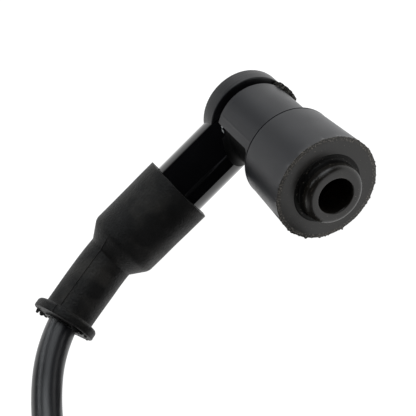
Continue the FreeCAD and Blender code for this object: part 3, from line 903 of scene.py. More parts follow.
@dataclass
class PlugBoot:
    """The rubber boot over the barrel: slotted sleeve, thick skirt, and nose with the plug's bore."""

    axis: Axis
    inside_radius: float = 8.55
    inside_front: float = 31.55
    sleeve_radius: float = 9.6
    sleeve_back: float = 2.1
    slot_half_width: float = 7.3
    slot_front: float = 16.5
    slot_corner: float = 1.6
    skirt_back: float = 18.7
    skirt_back_radius: float = 11.15
    face: float = 35.2
    face_radius: float = 12.05
    collar_radius: float = 7.9
    collar_rise: float = 0.22
    nose_radius: float = 6.85
    nose_front: float = 38.95
    bore_radius: float = 4.15
    sleeve_line: float = math.radians(-62)

    def build(self) -> None:
        """Makes and dresses the boot."""
        boot = lathe("plug_boot_rubber", self.axis, self.outline(), 320, self.unevenness)
        boot = cut(boot, self.slot())
        smooth(boot, 32)
        dress(boot, BOOT_RUBBER, FACE_RUBBER, FLASH_RUBBER, NOSE_ROOT_SHADE_RUBBER)
        self.paint_face(boot)
        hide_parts("plug_boot")
        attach(boot, "boot")
        LOG.info("plug boot: %s", boot.name)

    def outline(self) -> Profile:
        """The wall's closed outline: over the sleeve, skirt and nose, and back inside.

        Returns:
            The outline's points, as radius and distance along the barrel.
        """
        corners = [
            (self.sleeve_radius, self.sleeve_back, 0.15),
            (self.sleeve_radius, self.skirt_back, 0.05),
            (self.skirt_back_radius + 0.06, self.skirt_back, 0.05),
            (self.skirt_back_radius + 0.06, self.skirt_back + 0.16, 0.03),
            (self.skirt_back_radius - 0.12, self.skirt_back + 0.24, 0.0),
            (self.skirt_back_radius + 0.02, self.skirt_back + 0.42, 0.05),
            (self.face_radius, self.face, 0.12),
            (self.collar_radius + 0.12, self.face, 0.05),
            (self.collar_radius, self.face + self.collar_rise, 0.08),
            (self.nose_radius, self.face + self.collar_rise, 0.5),
            (self.nose_radius, self.nose_front, 1.3),
            (self.bore_radius, self.nose_front, 0.35),
            (self.bore_radius, self.inside_front, 0.0),
            (self.inside_radius, self.inside_front, 0.0),
            (self.inside_radius, self.sleeve_back, 0.1),
        ]
        return stepped(rounded(corners, 7), 0.9)

    def unevenness(self, angle: float, radius: float, distance: float) -> float:
        """The torn flash on the skirt's front edge and the faint parting line along the sleeve.

        Args:
            angle: the angle round the barrel.
            radius: the distance from its axis, in millimetres.
            distance: the distance along it, in millimetres.

        Returns:
            How far the surface stands out there, in millimetres.
        """
        if distance < self.skirt_back and radius > self.sleeve_radius - 0.2:
            off = math.remainder(angle - self.sleeve_line, FULL_TURN)
            return 0.07 * math.exp(-((off / math.radians(1.2)) ** 2))
        edge = max(0.0, 1 - abs(distance - self.face + 0.08) / 0.22)
        if radius < self.face_radius - 0.5 or edge == 0.0:
            return 0.0
        torn = max(0.0, ripple(angle, 5.0, (17, 41, 67, 89, 109)))
        low = 0.5 + 0.5 * math.cos(angle - math.radians(55))
        return edge * (0.03 + (0.16 + 0.26 * low * low) * torn)

    def slot(self) -> bpy.types.Object:
        """The tool that cuts the arm's slot, with rounded inner corners.

        Returns:
            The tool's block.
        """
        half, corner = self.slot_half_width, self.slot_corner
        outline = [(-half, -3.0), (half, -3.0)]
        for middle, start in ((half - corner, 0.0), (-half + corner, math.pi / 2)):
            for bearing in (start + step * math.pi / 16 for step in range(9)):
                distance = self.slot_front - corner + corner * math.sin(bearing)
                outline.append((middle + corner * math.cos(bearing), distance))
        near, far = [], []
        for across, distance in outline:
            base = self.axis.origin + (self.axis.side * across + self.axis.along * distance) * MM
            near.append(base + self.axis.zero * 3 * MM)
            far.append(base + self.axis.zero * 14 * MM)
        return mesh_object("slot_tool", *woven([near, far], False))

    def paint_face(self, boot: bpy.types.Object) -> None:
        """Gives the trimmed front faces and the flash their own finishes, and paints shade on the nose's
        root with a darker, duller rubber.

        Args:
            boot: the boot, dressed in its four finishes.
        """
        for polygon in boot.data.polygons:
            offset = polygon.center - self.axis.origin
            distance = offset.dot(self.axis.along) / MM
            radius = (offset - self.axis.along * offset.dot(self.axis.along)).length / MM
            faces_front = polygon.normal.dot(self.axis.along) > 0.8
            on_root = self.bore_radius + 0.5 < radius < self.collar_radius + 0.2
            if radius > self.face_radius - 0.7 and abs(distance - self.face) < 0.4:
                polygon.material_index = 2
            # Painted shade: the collar and the nose's lower side take the darker, duller rubber.
            elif on_root and 0.0 < distance - self.face < 2.0:
                polygon.material_index = 3
            elif distance > self.face - 0.1 and (radius < self.nose_radius + 0.4 or faces_front):
                polygon.material_index = 1


@dataclass
class CableBoot:
    """The rubber boot over the arm's end: cuff, cone, bent neck, bead and torn lip."""

    elbow: Vector
    cuff_start: float = 23.5
    cuff_end: float = 41.7
    arm_length: float = 42.0
    cuff_radii: Tuple[float, float] = (8.75, 8.6)
    cuff_way: float = 6.8
    neck_radius: float = 5.95
    lead_way: float = 3.56
    neck_start: float = 45.6
    bend_start: float = 45.5
    bend_radius: float = 35.3
    bend_angle: float = math.radians(24.6)
    tail: float = 3.6
    neck_slack: float = 0.9
    bead_radius: float = 7.75
    bead_thickness: float = 2.3
    bead_lean: float = 0.62
    lip_radius: float = 4.6
    lip_length: float = 0.5
    flash_radii: Tuple[float, float] = (6.95, 6.6)
    flash_length: float = 1.0
    seam_angle: float = math.radians(-25)

    def station(self, distance: float) -> Tuple[Vector, Vector]:
        """The centre line's point and heading, in the arm and barrel directions.

        Args:
            distance: the length along the centre line from the elbow, in millimetres.

        Returns:
            The point and the unit heading.
        """
        turned = min(max((distance - self.bend_start) / self.bend_radius, 0.0), self.bend_angle)
        over = max(0.0, distance - self.bend_start - self.bend_radius * self.bend_angle)
        heading = Vector((math.cos(turned), math.sin(turned)))
        along = min(distance, self.bend_start) + self.bend_radius * math.sin(turned) + over * heading.x
        aside = self.bend_radius * (1 - math.cos(turned)) + over * heading.y
        return Vector((along, aside)), heading

    def slack(self, radius: float, distance: float) -> float:
        """How far the neck's outside runs inside the bend's arc, as thick rubber bends at its ends.

        Args:
            radius: the distance from the centre line, in millimetres.
            distance: the length along the centre line from the elbow, in millimetres.

        Returns:
            The shift towards the inside of the bend, in millimetres.
        """
        neck_end = self.bend_start + self.bend_radius * self.bend_angle + self.tail
        share = (distance - self.neck_start) / (neck_end - self.neck_start)
        if radius < self.lead_way + 0.5 or not 0.0 < share < 1.0:
            return 0.0
        return self.neck_slack * math.sin(math.pi * share)

    def place(self, radius: float, angle: float, distance: float) -> Vector:
        """The row-frame point at a place about the centre line.

        Args:
            radius: the distance from the centre line, in millimetres.
            angle: the angle round it, 0 being up.
            distance: the length along it from the elbow, in millimetres.

        Returns:
            The point, in metres.
        """
        centre, heading = self.station(distance)
        outward = Vector((heading.y, -heading.x))
        flat = centre + outward * (radius * math.sin(angle) - self.slack(radius, distance))
        return self.elbow + Vector((-flat.x, -flat.y, radius * math.cos(angle))) * MM

    def build(self) -> None:
        """Makes and dresses the boot and its torn flash."""
        boot = mesh_object("cable_boot_rubber", *woven(self.rings(), True))
        smooth(dress(boot, CUFF_RUBBER), 40)
        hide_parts("cable_boot")
        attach(boot, "root")
        LOG.info("cable boot: %s", boot.name)

    def angles(self) -> List[float]:
        """Angles round the boot, closer together at the two parting lines.

        Returns:
            The angles, from 0 to a full turn.
        """
        even = [FULL_TURN * k / 132 for k in range(132)]
        seams = [self.seam_angle, self.seam_angle + math.pi]
        steps = [math.radians(step) for step in (-2.6, -1.7, -1, -0.4, 0, 0.4, 1, 1.7, 2.6)]
        near = [seam + step for seam in seams for step in steps]
        clear = math.radians(3)
        kept = [a for a in even if all(abs(math.remainder(a - s, FULL_TURN)) > clear for s in seams)]
        return sorted(a % FULL_TURN for a in kept + near)

    def outline(self) -> Profile:
        """The wall's closed outline, along the outside and back through the way for the lead.

        Returns:
            The outline's points, as radius and distance along the centre line.
        """
        end = self.bend_start + self.bend_radius * self.bend_angle + self.tail
        bead = end - self.bead_thickness
        corners = [
            (self.cuff_radii[0], self.cuff_start, 0.12),
            (self.cuff_radii[1], self.cuff_end, 2.6),
            (self.neck_radius, self.neck_start, 0.35),
            (self.neck_radius, bead, 0.35),
            (self.bead_radius, bead, 1.05),
            (self.bead_radius, end, 1.05),
            (self.flash_radii[0], end, 0.0),
            (self.flash_radii[0], end + self.flash_length, 0.0),
            (self.flash_radii[1], end + self.flash_length, 0.0),
            (self.flash_radii[1], end, 0.0),
            (self.lip_radius, end, 0.15),
            (self.lip_radius, end + self.lip_length, 0.1),
            (self.lead_way + 0.1, end + self.lip_length, 0.1),
            (self.lead_way, end - 1.2, 0.0),
            (self.lead_way, self.arm_length + 0.05, 0.0),
            (self.cuff_way, self.arm_length + 0.05, 0.0),
            (self.cuff_way, self.cuff_start, 0.1),
        ]
        return stepped(rounded(corners, 7), 0.8)

    def rings(self) -> List[List[Vector]]:
        """The wall's rings, with parting lines, a dented cuff edge and an uneven bead.

        Returns:
            A ring of row-frame points for each point of the outline.
        """
        angles = self.angles()
        return [
            [self.skin(radius, angle, distance) for angle in angles]
            for radius, distance in self.outline()
        ]

    def skin(self, radius: float, angle: float, distance: float) -> Vector:
        """The row-frame point of the uneven surface for a point of the outline.

        Args:
            radius: the outline's distance from the centre line, in millimetres.
            angle: the angle round it, 0 being up.
            distance: the length along it from the elbow, in millimetres.

        Returns:
            The point, in metres.
        """
        raised = radius + self.swell(angle, radius, distance)
        return self.place(raised, angle, distance + self.ragged(angle, radius, distance))

    def swell(self, angle: float, radius: float, distance: float) -> float:
        """Height of the parting line's ridge and of the rubber's slight unevenness.

        Args:
            angle: the angle round the centre line, 0 being up.
            radius: the outline's distance from it, in millimetres.
            distance: the length along it from the elbow, in millimetres.

        Returns:
            The height, in millimetres.
        """
        if radius < self.neck_radius - 0.3:
            return 0.0
        beside = (math.remainder(angle - self.seam_angle - turn, FULL_TURN) for turn in (0.0, math.pi))
        off = min(abs(gap) for gap in beside)
        ridge = 0.12 * math.exp(-((off / math.radians(0.9)) ** 2))
        behind = math.remainder(angle - self.seam_angle, FULL_TURN)
        step = 0.1 * math.exp(-behind / math.radians(22)) if behind > 0 else 0.0
        on_neck = 1.0 if distance > self.cuff_end + 1 else 0.12
        wave = 0.03 * ripple(angle, distance * 0.13, (2, 3, 5))
        return (ridge + step) * on_neck + wave

    def ragged(self, angle: float, radius: float, distance: float) -> float:
        """Shift along the centre line of a point: cut cuff, leaning bead and torn flash.

        Args:
            angle: the angle round the centre line, 0 being up.
            radius: the outline's distance from it, in millimetres.
            distance: the length along it from the elbow, in millimetres.

        Returns:
            The shift, in millimetres.
        """
        end = self.bend_start + self.bend_radius * self.bend_angle + self.tail
        near_bead = min(max((distance - end + 9) / 7, 0.0), 1.0)
        lean = self.bead_lean * near_bead * (0.7 - math.sin(angle) * radius / self.bead_radius)
        if distance > end + 0.01 and radius > self.flash_radii[1] - 0.01:
            torn = min(1.0, max(0.0, 1.6 * ripple(angle, 1.3, (2, 5, 11, 19)) - 0.25))
            return lean + (distance - end) * (torn - 1)
        if distance < self.cuff_start + 0.6 and radius > self.cuff_way + 0.3:
            return -0.14 * max(0.0, ripple(angle, 2.5, (5, 11, 23, 41)))
        return lean


# ---------------------------------------------------------------- high-tension lead


@dataclass
class Lead:
    """The high-tension lead: one curve from the arm to the coil block."""

    elbow: Vector
    floor: float
    radius: float = 3.5
    length: float = 0.234
    route: Sequence[Tuple[float, float, float]] = (
        (20.0, 0.0, 12.05),
        (53.2, 0.0, 12.05),
        (68.75, 7.12, 12.05),
        (79.5, 17.2, 8.0),
        (87.6, 34.6, 3.55),
        (100.0, 55.5, 3.55),
        (108.5, 81.5, 3.55),
        (108.5, 117.7, 3.55),
        (97.8, 136.3, 6.0),
        (79.2, 147.0, 8.5),
        (57.4, 147.0, 8.5),
    )
    mouth: float = 42.0

    def row_point(self, along: float, aside: float, height: float) -> Vector:
        """The row-frame point so far along the arm and the barrel, at a height over the floor."""
        return Vector((self.elbow.x - along * MM, self.elbow.y - aside * MM, self.floor + height * MM))

    def build(self) -> None:
        curve = bpy.data.curves.new("high_tension_lead", "CURVE")
        curve.dimensions = "3D"
        curve.bevel_depth = self.radius * MM
        curve.bevel_resolution = 14
        curve.resolution_u = 24
        curve.use_fill_caps = True
        spline = curve.splines.new("NURBS")
        points = [self.row_point(*stop) for stop in self.route]
        spline.points.add(len(points) - 1)
        for control, point in zip(spline.points, points):
            control.co = (*point, 1.0)
        spline.order_u = 3
        spline.use_endpoint_u = True
        lead = placed("high_tension_lead", curve)
        curve.materials.append(LEAD_RUBBER.build())
        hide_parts("lead_jacket", "lead_conductor")
        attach(lead, "root")
        LOG.info("lead: %s", lead.name)


# ---------------------------------------------------------------- coil block


@dataclass
class StackedCore:
    """The laminated core: bar and legs as stacks of steel sheets, and the rivets through them."""

    sheet_thickness: float = 0.5
    gap_share: float = 0.1
    rivet_head: float = 2.6
    rivet_rise: float = 0.9
    wander: float = 0.035

    def build(self) -> None:
        """Makes the stacks and the rivets."""
        for node in ("core_bar", "core_leg_left", "core_leg_right"):
            stack = self.stack(node)
            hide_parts(node)
            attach(stack, "root")
            LOG.info("core: %s", stack.name)
        rivets = self.rivets()
        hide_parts("core_rivets")
        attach(rivets, "root")

    def outline(self, node: str) -> List[List[Vector]]:
        """The loops of one sheet, read from the lowest face of a CAD node.

        Args:
            node: the node's name.

        Returns:
            The loops of points: the outline first, then the holes.
        """
        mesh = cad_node(node).data
        work = bmesh.new()
        work.from_mesh(mesh)
        bmesh.ops.remove_doubles(work, verts=work.verts, dist=1e-6)
        low = min(v.co.z for v in work.verts)
        flat = [f for f in work.faces if all(abs(v.co.z - low) < 1e-6 for v in f.verts)]
        border = [e for f in flat for e in f.edges if sum(g in flat for g in e.link_faces) == 1]
        links: Dict[int, List[int]] = {}
        spots = {v.index: v.co.copy() for v in work.verts}
        for edge in border:
            a, b = edge.verts[0].index, edge.verts[1].index
            links.setdefault(a, []).append(b)
            links.setdefault(b, []).append(a)
        work.free()
        loops = []
        while links:
            start = next(iter(links))
            loop, here, before = [start], start, None
            while True:
                ahead = [n for n in links[here] if n != before]
                before, here = here, ahead[0]
                if here == start:
                    break
                loop.append(here)
            for index in loop:
                links.pop(index)
            loops.append([spots[index] for index in loop])
        return sorted(loops, key=lambda loop: -max((p - loop[0]).length for p in loop))

    def plate(self, node: str) -> bpy.types.Object:
        """One steel sheet of a node's plan, with its holes, lying at height 0.

        Args:
            node: the node's name.

        Returns:
            The sheet.
        """
        curve = bpy.data.curves.new(node + "_sheet", "CURVE")
        curve.dimensions = "2D"
        curve.fill_mode = "BOTH"
        curve.extrude = self.sheet_thickness * (1 - self.gap_share) / 2 * MM
        curve.bevel_depth = 0.03 * MM
        curve.bevel_resolution = 0
        curve.offset = -0.03 * MM
        for loop in self.outline(node):
            spline = curve.splines.new("POLY")
            spline.points.add(len(loop) - 1)
            for control, point in zip(spline.points, loop):
                control.co = (point.x, point.y, 0, 1)
            spline.use_cyclic_u = True
        holder = placed(node + "_sheet", curve)
        bpy.context.view_layer.update()
        graph = bpy.context.evaluated_depsgraph_get()
        mesh = bpy.data.meshes.new_from_object(holder.evaluated_get(graph))
        bpy.data.objects.remove(holder)
        work = bmesh.new()
        work.from_mesh(mesh)
        bmesh.ops.remove_doubles(work, verts=work.verts, dist=1e-6)
        bmesh.ops.recalc_face_normals(work, faces=work.faces)
        work.to_mesh(mesh)
        work.free()
        return placed(node + "_plate", mesh)

    def stack(self, node: str) -> bpy.types.Object:
        """Stacks copies of a sheet over a node's height, each a hair out of line.

        Args:
            node: the node's name.

        Returns:
            The stack.
        """
        low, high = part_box(node)
        plate = self.plate(node)
        count = round((high.z - low.z) / (self.sheet_thickness * MM))
        stack = placed(node + "_stack", plate.data.copy())
        modifier = stack.modifiers.new("stack", "NODES")
        modifier.node_group = stack_tree(SHEET_STEEL)
        pitch = (high.z - low.z) / count
        set_inputs(modifier, {
            "Count": count,
            "Pitch": pitch,
            "Start": low.z + pitch / 2,
            "Wander": self.wander * MM,
            "Seed": len(node),
        })
        bpy.context.view_layer.update()
        applied(stack)
        bpy.data.objects.remove(plate)
        return smooth(stack, 30)

    def rivets(self) -> bpy.types.Object:
        """Domed heads on top of the legs and flush ones underneath, at the CAD node's rivets.

        Returns:
            The heads.
        """
        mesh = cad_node("core_rivets").data
        low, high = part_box("core_rivets")
        tops = [v.co for v in mesh.vertices if abs(v.co.z - high.z) < 1e-6]
        centres: List[Vector] = []
        for x_side in (-1, 1):
            side = [p for p in tops if p.x * x_side > 0]
            middle = (min(p.y for p in side) + max(p.y for p in side)) / 2
            for near in (True, False):
                group = [p for p in side if (p.y > middle) == near]
                spread = [(min(p[k] for p in group) + max(p[k] for p in group)) / 2 for k in (0, 1)]
                centres.append(Vector((spread[0], spread[1], 0)))
        up, ahead = Vector((0, 0, 1)), Vector((1, 0, 0))
        head = self.head(Axis(up * (high.z - self.rivet_rise * MM), up, ahead))
        flush = self.head(Axis(up * low.z, -up, ahead), 0.03)
        pair = joined("rivet_pair", [head, flush])
        cloud = bpy.data.meshes.new("core_rivet_heads")
        cloud.from_pydata([tuple(c) for c in centres], [], [])
        rivets = placed("core_rivet_heads", cloud)
        modifier = rivets.modifiers.new("heads", "NODES")
        modifier.node_group = scatter_tree(RIVET_STEEL)
        set_inputs(modifier, {"Piece": pair})
        bpy.context.view_layer.update()
        applied(rivets)
        bpy.data.objects.remove(pair)
        return smooth(rivets, 35)

    def head(self, axis: Axis, rise: float = 0.0) -> bpy.types.Object:
        """One set head: a shank sunk in the sheets, a low dome and its flattened crown.

        Args:
            axis: the rivet's axis, from the face outwards.
            rise: the dome's height in millimetres, or 0 for the full head.

        Returns:
            The head's mesh.
        """
        height = rise or self.rivet_rise
        edge = 0.13 * height
        outline = [(1.5, -1.0), (1.5, 0.0), (self.rivet_head, 0.0)]
        outline += [(self.rivet_head * math.cos(t), edge + (height - edge) * math.sin(t))
                    for t in (0, 0.3, 0.6, 0.9, 1.15, 1.35)]
        rings = [[axis.point(r, FULL_TURN * k / 40, d) for k in range(40)] for r, d in outline]
        return mesh_object("rivet_head", *woven(rings, False))


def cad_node(name: str) -> bpy.types.Object:
    """The frame's object for a CAD node."""
    return bpy.data.objects[name]


def set_inputs(modifier: bpy.types.NodesModifier, values: Dict[str, object]) -> None:
    """Sets a geometry node modifier's inputs by their sockets' names.

    Args:
        modifier: the modifier, with its tree.
        values: the value for each named socket.
    """
    for item in modifier.node_group.interface.items_tree:
        if item.item_type == "SOCKET" and item.in_out == "INPUT" and item.name in values:
            modifier[item.identifier] = values[item.name]


def new_tree(name: str, sockets: Sequence[Tuple[str, str]]) -> TreeEnds:
    """A geometry node tree with a geometry in and out.

    Args:
        name: the tree's name.
        sockets: label and type of each further input.

    Returns:
        The tree, its input node and its output node.
    """
    tree = bpy.data.node_groups.new(name, "GeometryNodeTree")
    tree.interface.new_socket("Geometry", in_out="INPUT", socket_type="NodeSocketGeometry")
    for label, kind in sockets:
        tree.interface.new_socket(label, in_out="INPUT", socket_type=kind)
    tree.interface.new_socket("Geometry", in_out="OUTPUT", socket_type="NodeSocketGeometry")
    return tree, tree.nodes.new("NodeGroupInput"), tree.nodes.new("NodeGroupOutput")


def finish_tree(
    tree: bpy.types.NodeTree,
    geometry: bpy.types.NodeSocket,
    out: bpy.types.Node,
    finish: Finish,
) -> None:
    """Realizes the instances and sets their material.

    Args:
        tree: the geometry node tree.
        geometry: the socket the instances come from.
        out: the tree's output node.
        finish: the finish of the pieces.
    """
    realize = tree.nodes.new("GeometryNodeRealizeInstances")
    paint = tree.nodes.new("GeometryNodeSetMaterial")
    paint.inputs["Material"].default_value = finish.build()
    tree.links.new(geometry, realize.inputs["Geometry"])
    tree.links.new(realize.outputs["Geometry"], paint.inputs["Geometry"])
    tree.links.new(paint.outputs["Geometry"], out.inputs["Geometry"])


def stack_tree(finish: Finish) -> bpy.types.NodeTree:
    """Stacks the incoming sheet along Z, each copy shifted a little at random.

    Args:
        finish: the finish of the sheets.

    Returns:
        The tree, with Count, Pitch, Start, Wander and Seed as inputs.
    """
    tree, source, out = new_tree("stack_of_sheets", [
        ("Count", "NodeSocketInt"), ("Pitch", "NodeSocketFloat"), ("Start", "NodeSocketFloat"),
        ("Wander", "NodeSocketFloat"), ("Seed", "NodeSocketInt"),
    ])
    link = tree.links.new
    line = tree.nodes.new("GeometryNodeMeshLine")
    step = tree.nodes.new("ShaderNodeCombineXYZ")
    start = tree.nodes.new("ShaderNodeCombineXYZ")
    link(source.outputs["Pitch"], step.inputs["Z"])
    link(source.outputs["Start"], start.inputs["Z"])
    link(source.outputs["Count"], line.inputs["Count"])
    link(step.outputs["Vector"], line.inputs["Offset"])
    link(start.outputs["Vector"], line.inputs["Start Location"])
    random = tree.nodes.new("FunctionNodeRandomValue")
    random.data_type = "FLOAT_VECTOR"
    random.inputs["Min"].default_value = (-1, -1, 0)
    random.inputs["Max"].default_value = (1, 1, 0)
    link(source.outputs["Seed"], random.inputs["Seed"])
    scale = tree.nodes.new("ShaderNodeVectorMath")
    scale.operation = "SCALE"
    link(random.outputs["Value"], scale.inputs["Vector"])
    link(source.outputs["Wander"], scale.inputs["Scale"])
    shift = tree.nodes.new("GeometryNodeSetPosition")
    link(line.outputs["Mesh"], shift.inputs["Geometry"])
    link(scale.outputs["Vector"], shift.inputs["Offset"])
    copies = tree.nodes.new("GeometryNodeInstanceOnPoints")
    link(shift.outputs["Geometry"], copies.inputs["Points"])
    link(source.outputs["Geometry"], copies.inputs["Instance"])
    finish_tree(tree, copies.outputs["Instances"], out, finish)
    return tree


def scatter_tree(finish: Finish) -> bpy.types.NodeTree:
    """Puts a copy of a piece on each incoming point.

    Args:
        finish: the finish of the copies.

    Returns:
        The tree, with Piece as input.
    """
    tree, source, out = new_tree("piece_on_points", [("Piece", "NodeSocketObject")])
    info = tree.nodes.new("GeometryNodeObjectInfo")
    copies = tree.nodes.new("GeometryNodeInstanceOnPoints")
    tree.links.new(source.outputs["Piece"], info.inputs["Object"])
    tree.links.new(source.outputs["Geometry"], copies.inputs["Points"])
    tree.links.new(info.outputs["Geometry"], copies.inputs["Instance"])
    finish_tree(tree, copies.outputs["Instances"], out, finish)
    return tree


@dataclass
class CoilBlock:
    """The potting cup with its lead tower, the resin's surface and the gland."""

    elbow: Vector
    wall: float = 1.6
    corner: float = 1.8
    tower_radius: float = 5.9
    tower_length: float = 8.5
    tower_height: float = 8.5
    tower_y: float = -36.0
    gland_radius: float = 4.9
    lead_way: float = 3.55
    resin_depth: float = 0.8
    meniscus: float = 0.35

    def build(self) -> None:
        """Makes the cup, the resin and the gland."""
        low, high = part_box("coil_case")
        resin_low, resin_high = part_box("potting_resin")
        half = resin_high.x + self.wall * MM
        case = self.cup(Vector((-half, low.y, low.z)), Vector((half, high.y, high.z)))
        foot = Vector((-half, self.tower_y * MM, low.z + self.tower_height * MM))
        axis = Axis(foot, Vector((-1, 0, 0)), Vector((0, 0, 1)))
        case = joined("coil_case_cup", [case, self.tower(axis)])
        smooth(dress(case, CASE_PLASTIC), 40)
        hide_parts("coil_case")
        resin = self.resin(resin_low, resin_high)
        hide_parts("potting_resin")
        gland = self.gland(axis)
        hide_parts("lead_gland")
        for piece in (case, resin, gland):
            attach(piece, "root")
            LOG.info("coil block: %s", piece.name)

    def cup(self, low: Vector, high: Vector) -> bpy.types.Object:
        """The open cup, with rounded corners and a window in each side for the core's bar.

        Args:
            low: the cup's lowest corner, in metres.
            high: its highest corner, in metres.

        Returns:
            The cup.
        """
        outer = bevelled(box_between("cup_outside", low, high), self.corner, 5)
        inset = Vector((self.wall, self.wall, self.wall)) * MM
        top = Vector((high.x, high.y, high.z + 2 * MM)) - Vector((inset.x, inset.y, 0))
        outer = cut(outer, bevelled(box_between("cup_inside", low + inset, top), 0.8, 3))
        bar_low, bar_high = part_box("core_bar")
        sides = Vector((30 * MM, 0, 0))
        hair = Vector((0, 1, 1)) * 0.05 * MM
        return cut(outer, box_between("bar_window", bar_low - sides - hair, bar_high + sides + hair))

    def tower(self, axis: Axis) -> bpy.types.Object:
        """The lead's outlet, flared where it meets the cup, with a rolled mouth.

        Args:
            axis: the outlet's axis, from the cup's side outwards.

        Returns:
            The outlet's tube.
        """
        outline = rounded([
            (self.tower_radius - 0.1, -0.9, 0.0),
            (self.tower_radius - 0.05, 0.6, 0.0),
            (self.tower_radius - 0.35, self.tower_length - 1.8, 0.2),
            (self.tower_radius, self.tower_length - 1.4, 0.2),
            (self.tower_radius, self.tower_length, 0.35),
            (self.gland_radius, self.tower_length, 0.2),
            (self.gland_radius, self.tower_length - 5.5, 0.0),
            (self.lead_way, self.tower_length - 5.5, 0.0),
            (self.lead_way, -0.9, 0.0),
        ])
        return lathe("tower_tube", axis, outline, 96)

    def gland(self, axis: Axis) -> bpy.types.Object:
        """The rubber gland in the tower's mouth, tapered outwards round the lead.

        Args:
            axis: the tower's axis, from the cup's side outwards.

        Returns:
            The gland, dressed.
        """
        end = self.tower_length
        outline = rounded([
            (self.gland_radius - 0.05, end - 5.4, 0.0),
            (self.gland_radius - 0.05, end - 0.35, 0.3),
            (self.lead_way + 0.35, end - 0.05, 0.2),
            (self.lead_way, end - 0.3, 0.0),
            (self.lead_way, end - 5.4, 0.0),
        ])
        return smooth(dress(lathe("tower_gland", axis, outline, 96), GLAND_RUBBER), 40)

    def resin(self, low: Vector, high: Vector) -> bpy.types.Object:
        """The poured resin: a block whose surface creeps up the cup's walls at its edge.

        Args:
            low: the lowest corner of the resin's space, in metres.
            high: its highest corner, in metres.

        Returns:
            The resin, dressed.
        """
        across, along = 44, 40
        top, bottom = [], []
        sunk = self.meniscus * MM
        for j, i in product(range(along + 1), range(across + 1)):
            u, v = i / across, j / along
            x, y = low.x + u * (high.x - low.x), low.y + v * (high.y - low.y)
            edge = min(x - low.x, high.x - x, y - low.y, high.y - y) / MM
            creep = math.exp(-edge / 0.7)
            slow = math.sin(u * 5.1 + 1) * math.cos(v * 4.3)
            wave = 0.04 * MM * (slow + 0.5 * math.sin(u * 11 + v * 7))
            top.append(Vector((x, y, high.z - sunk + sunk * creep + wave * (1 - creep))))
            bottom.append(Vector((x, y, high.z - 3.5 * MM)))
        block = mesh_object("potting_resin_surface", top + bottom, slab_faces(across, along))
        return smooth(dress(block, POTTING), 40)


NODE_FINISHES: Dict[str, Finish] = {
    "primary_bobbin": NYLON,
    "secondary_bobbin": NYLON,
    "primary_winding": COPPER,
    "secondary_winding": COPPER,
    "module_board": BOARD,
    "switching_chip": CHIP,
    "kill_terminal": TINNED,
    "ground_pin": TINNED,
    "lead_contact": BRASS,
    "cable_screw": TINNED,
    "contact_disc": BRASS,
    "resistor": CERAMIC,
    "resistor_caps": TINNED,
    "plug_terminal": BRASS,
    "terminal_clip": SPRING_STEEL,
    "contact_spring": SPRING_STEEL,
}


def dress_nodes() -> None:
    """Gives each CAD node that stays its finish."""
    for node, finish in NODE_FINISHES.items():
        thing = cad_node(node)
        thing.data.materials.clear()
        thing.data.materials.append(finish.build())


# ---------------------------------------------------------------- studio


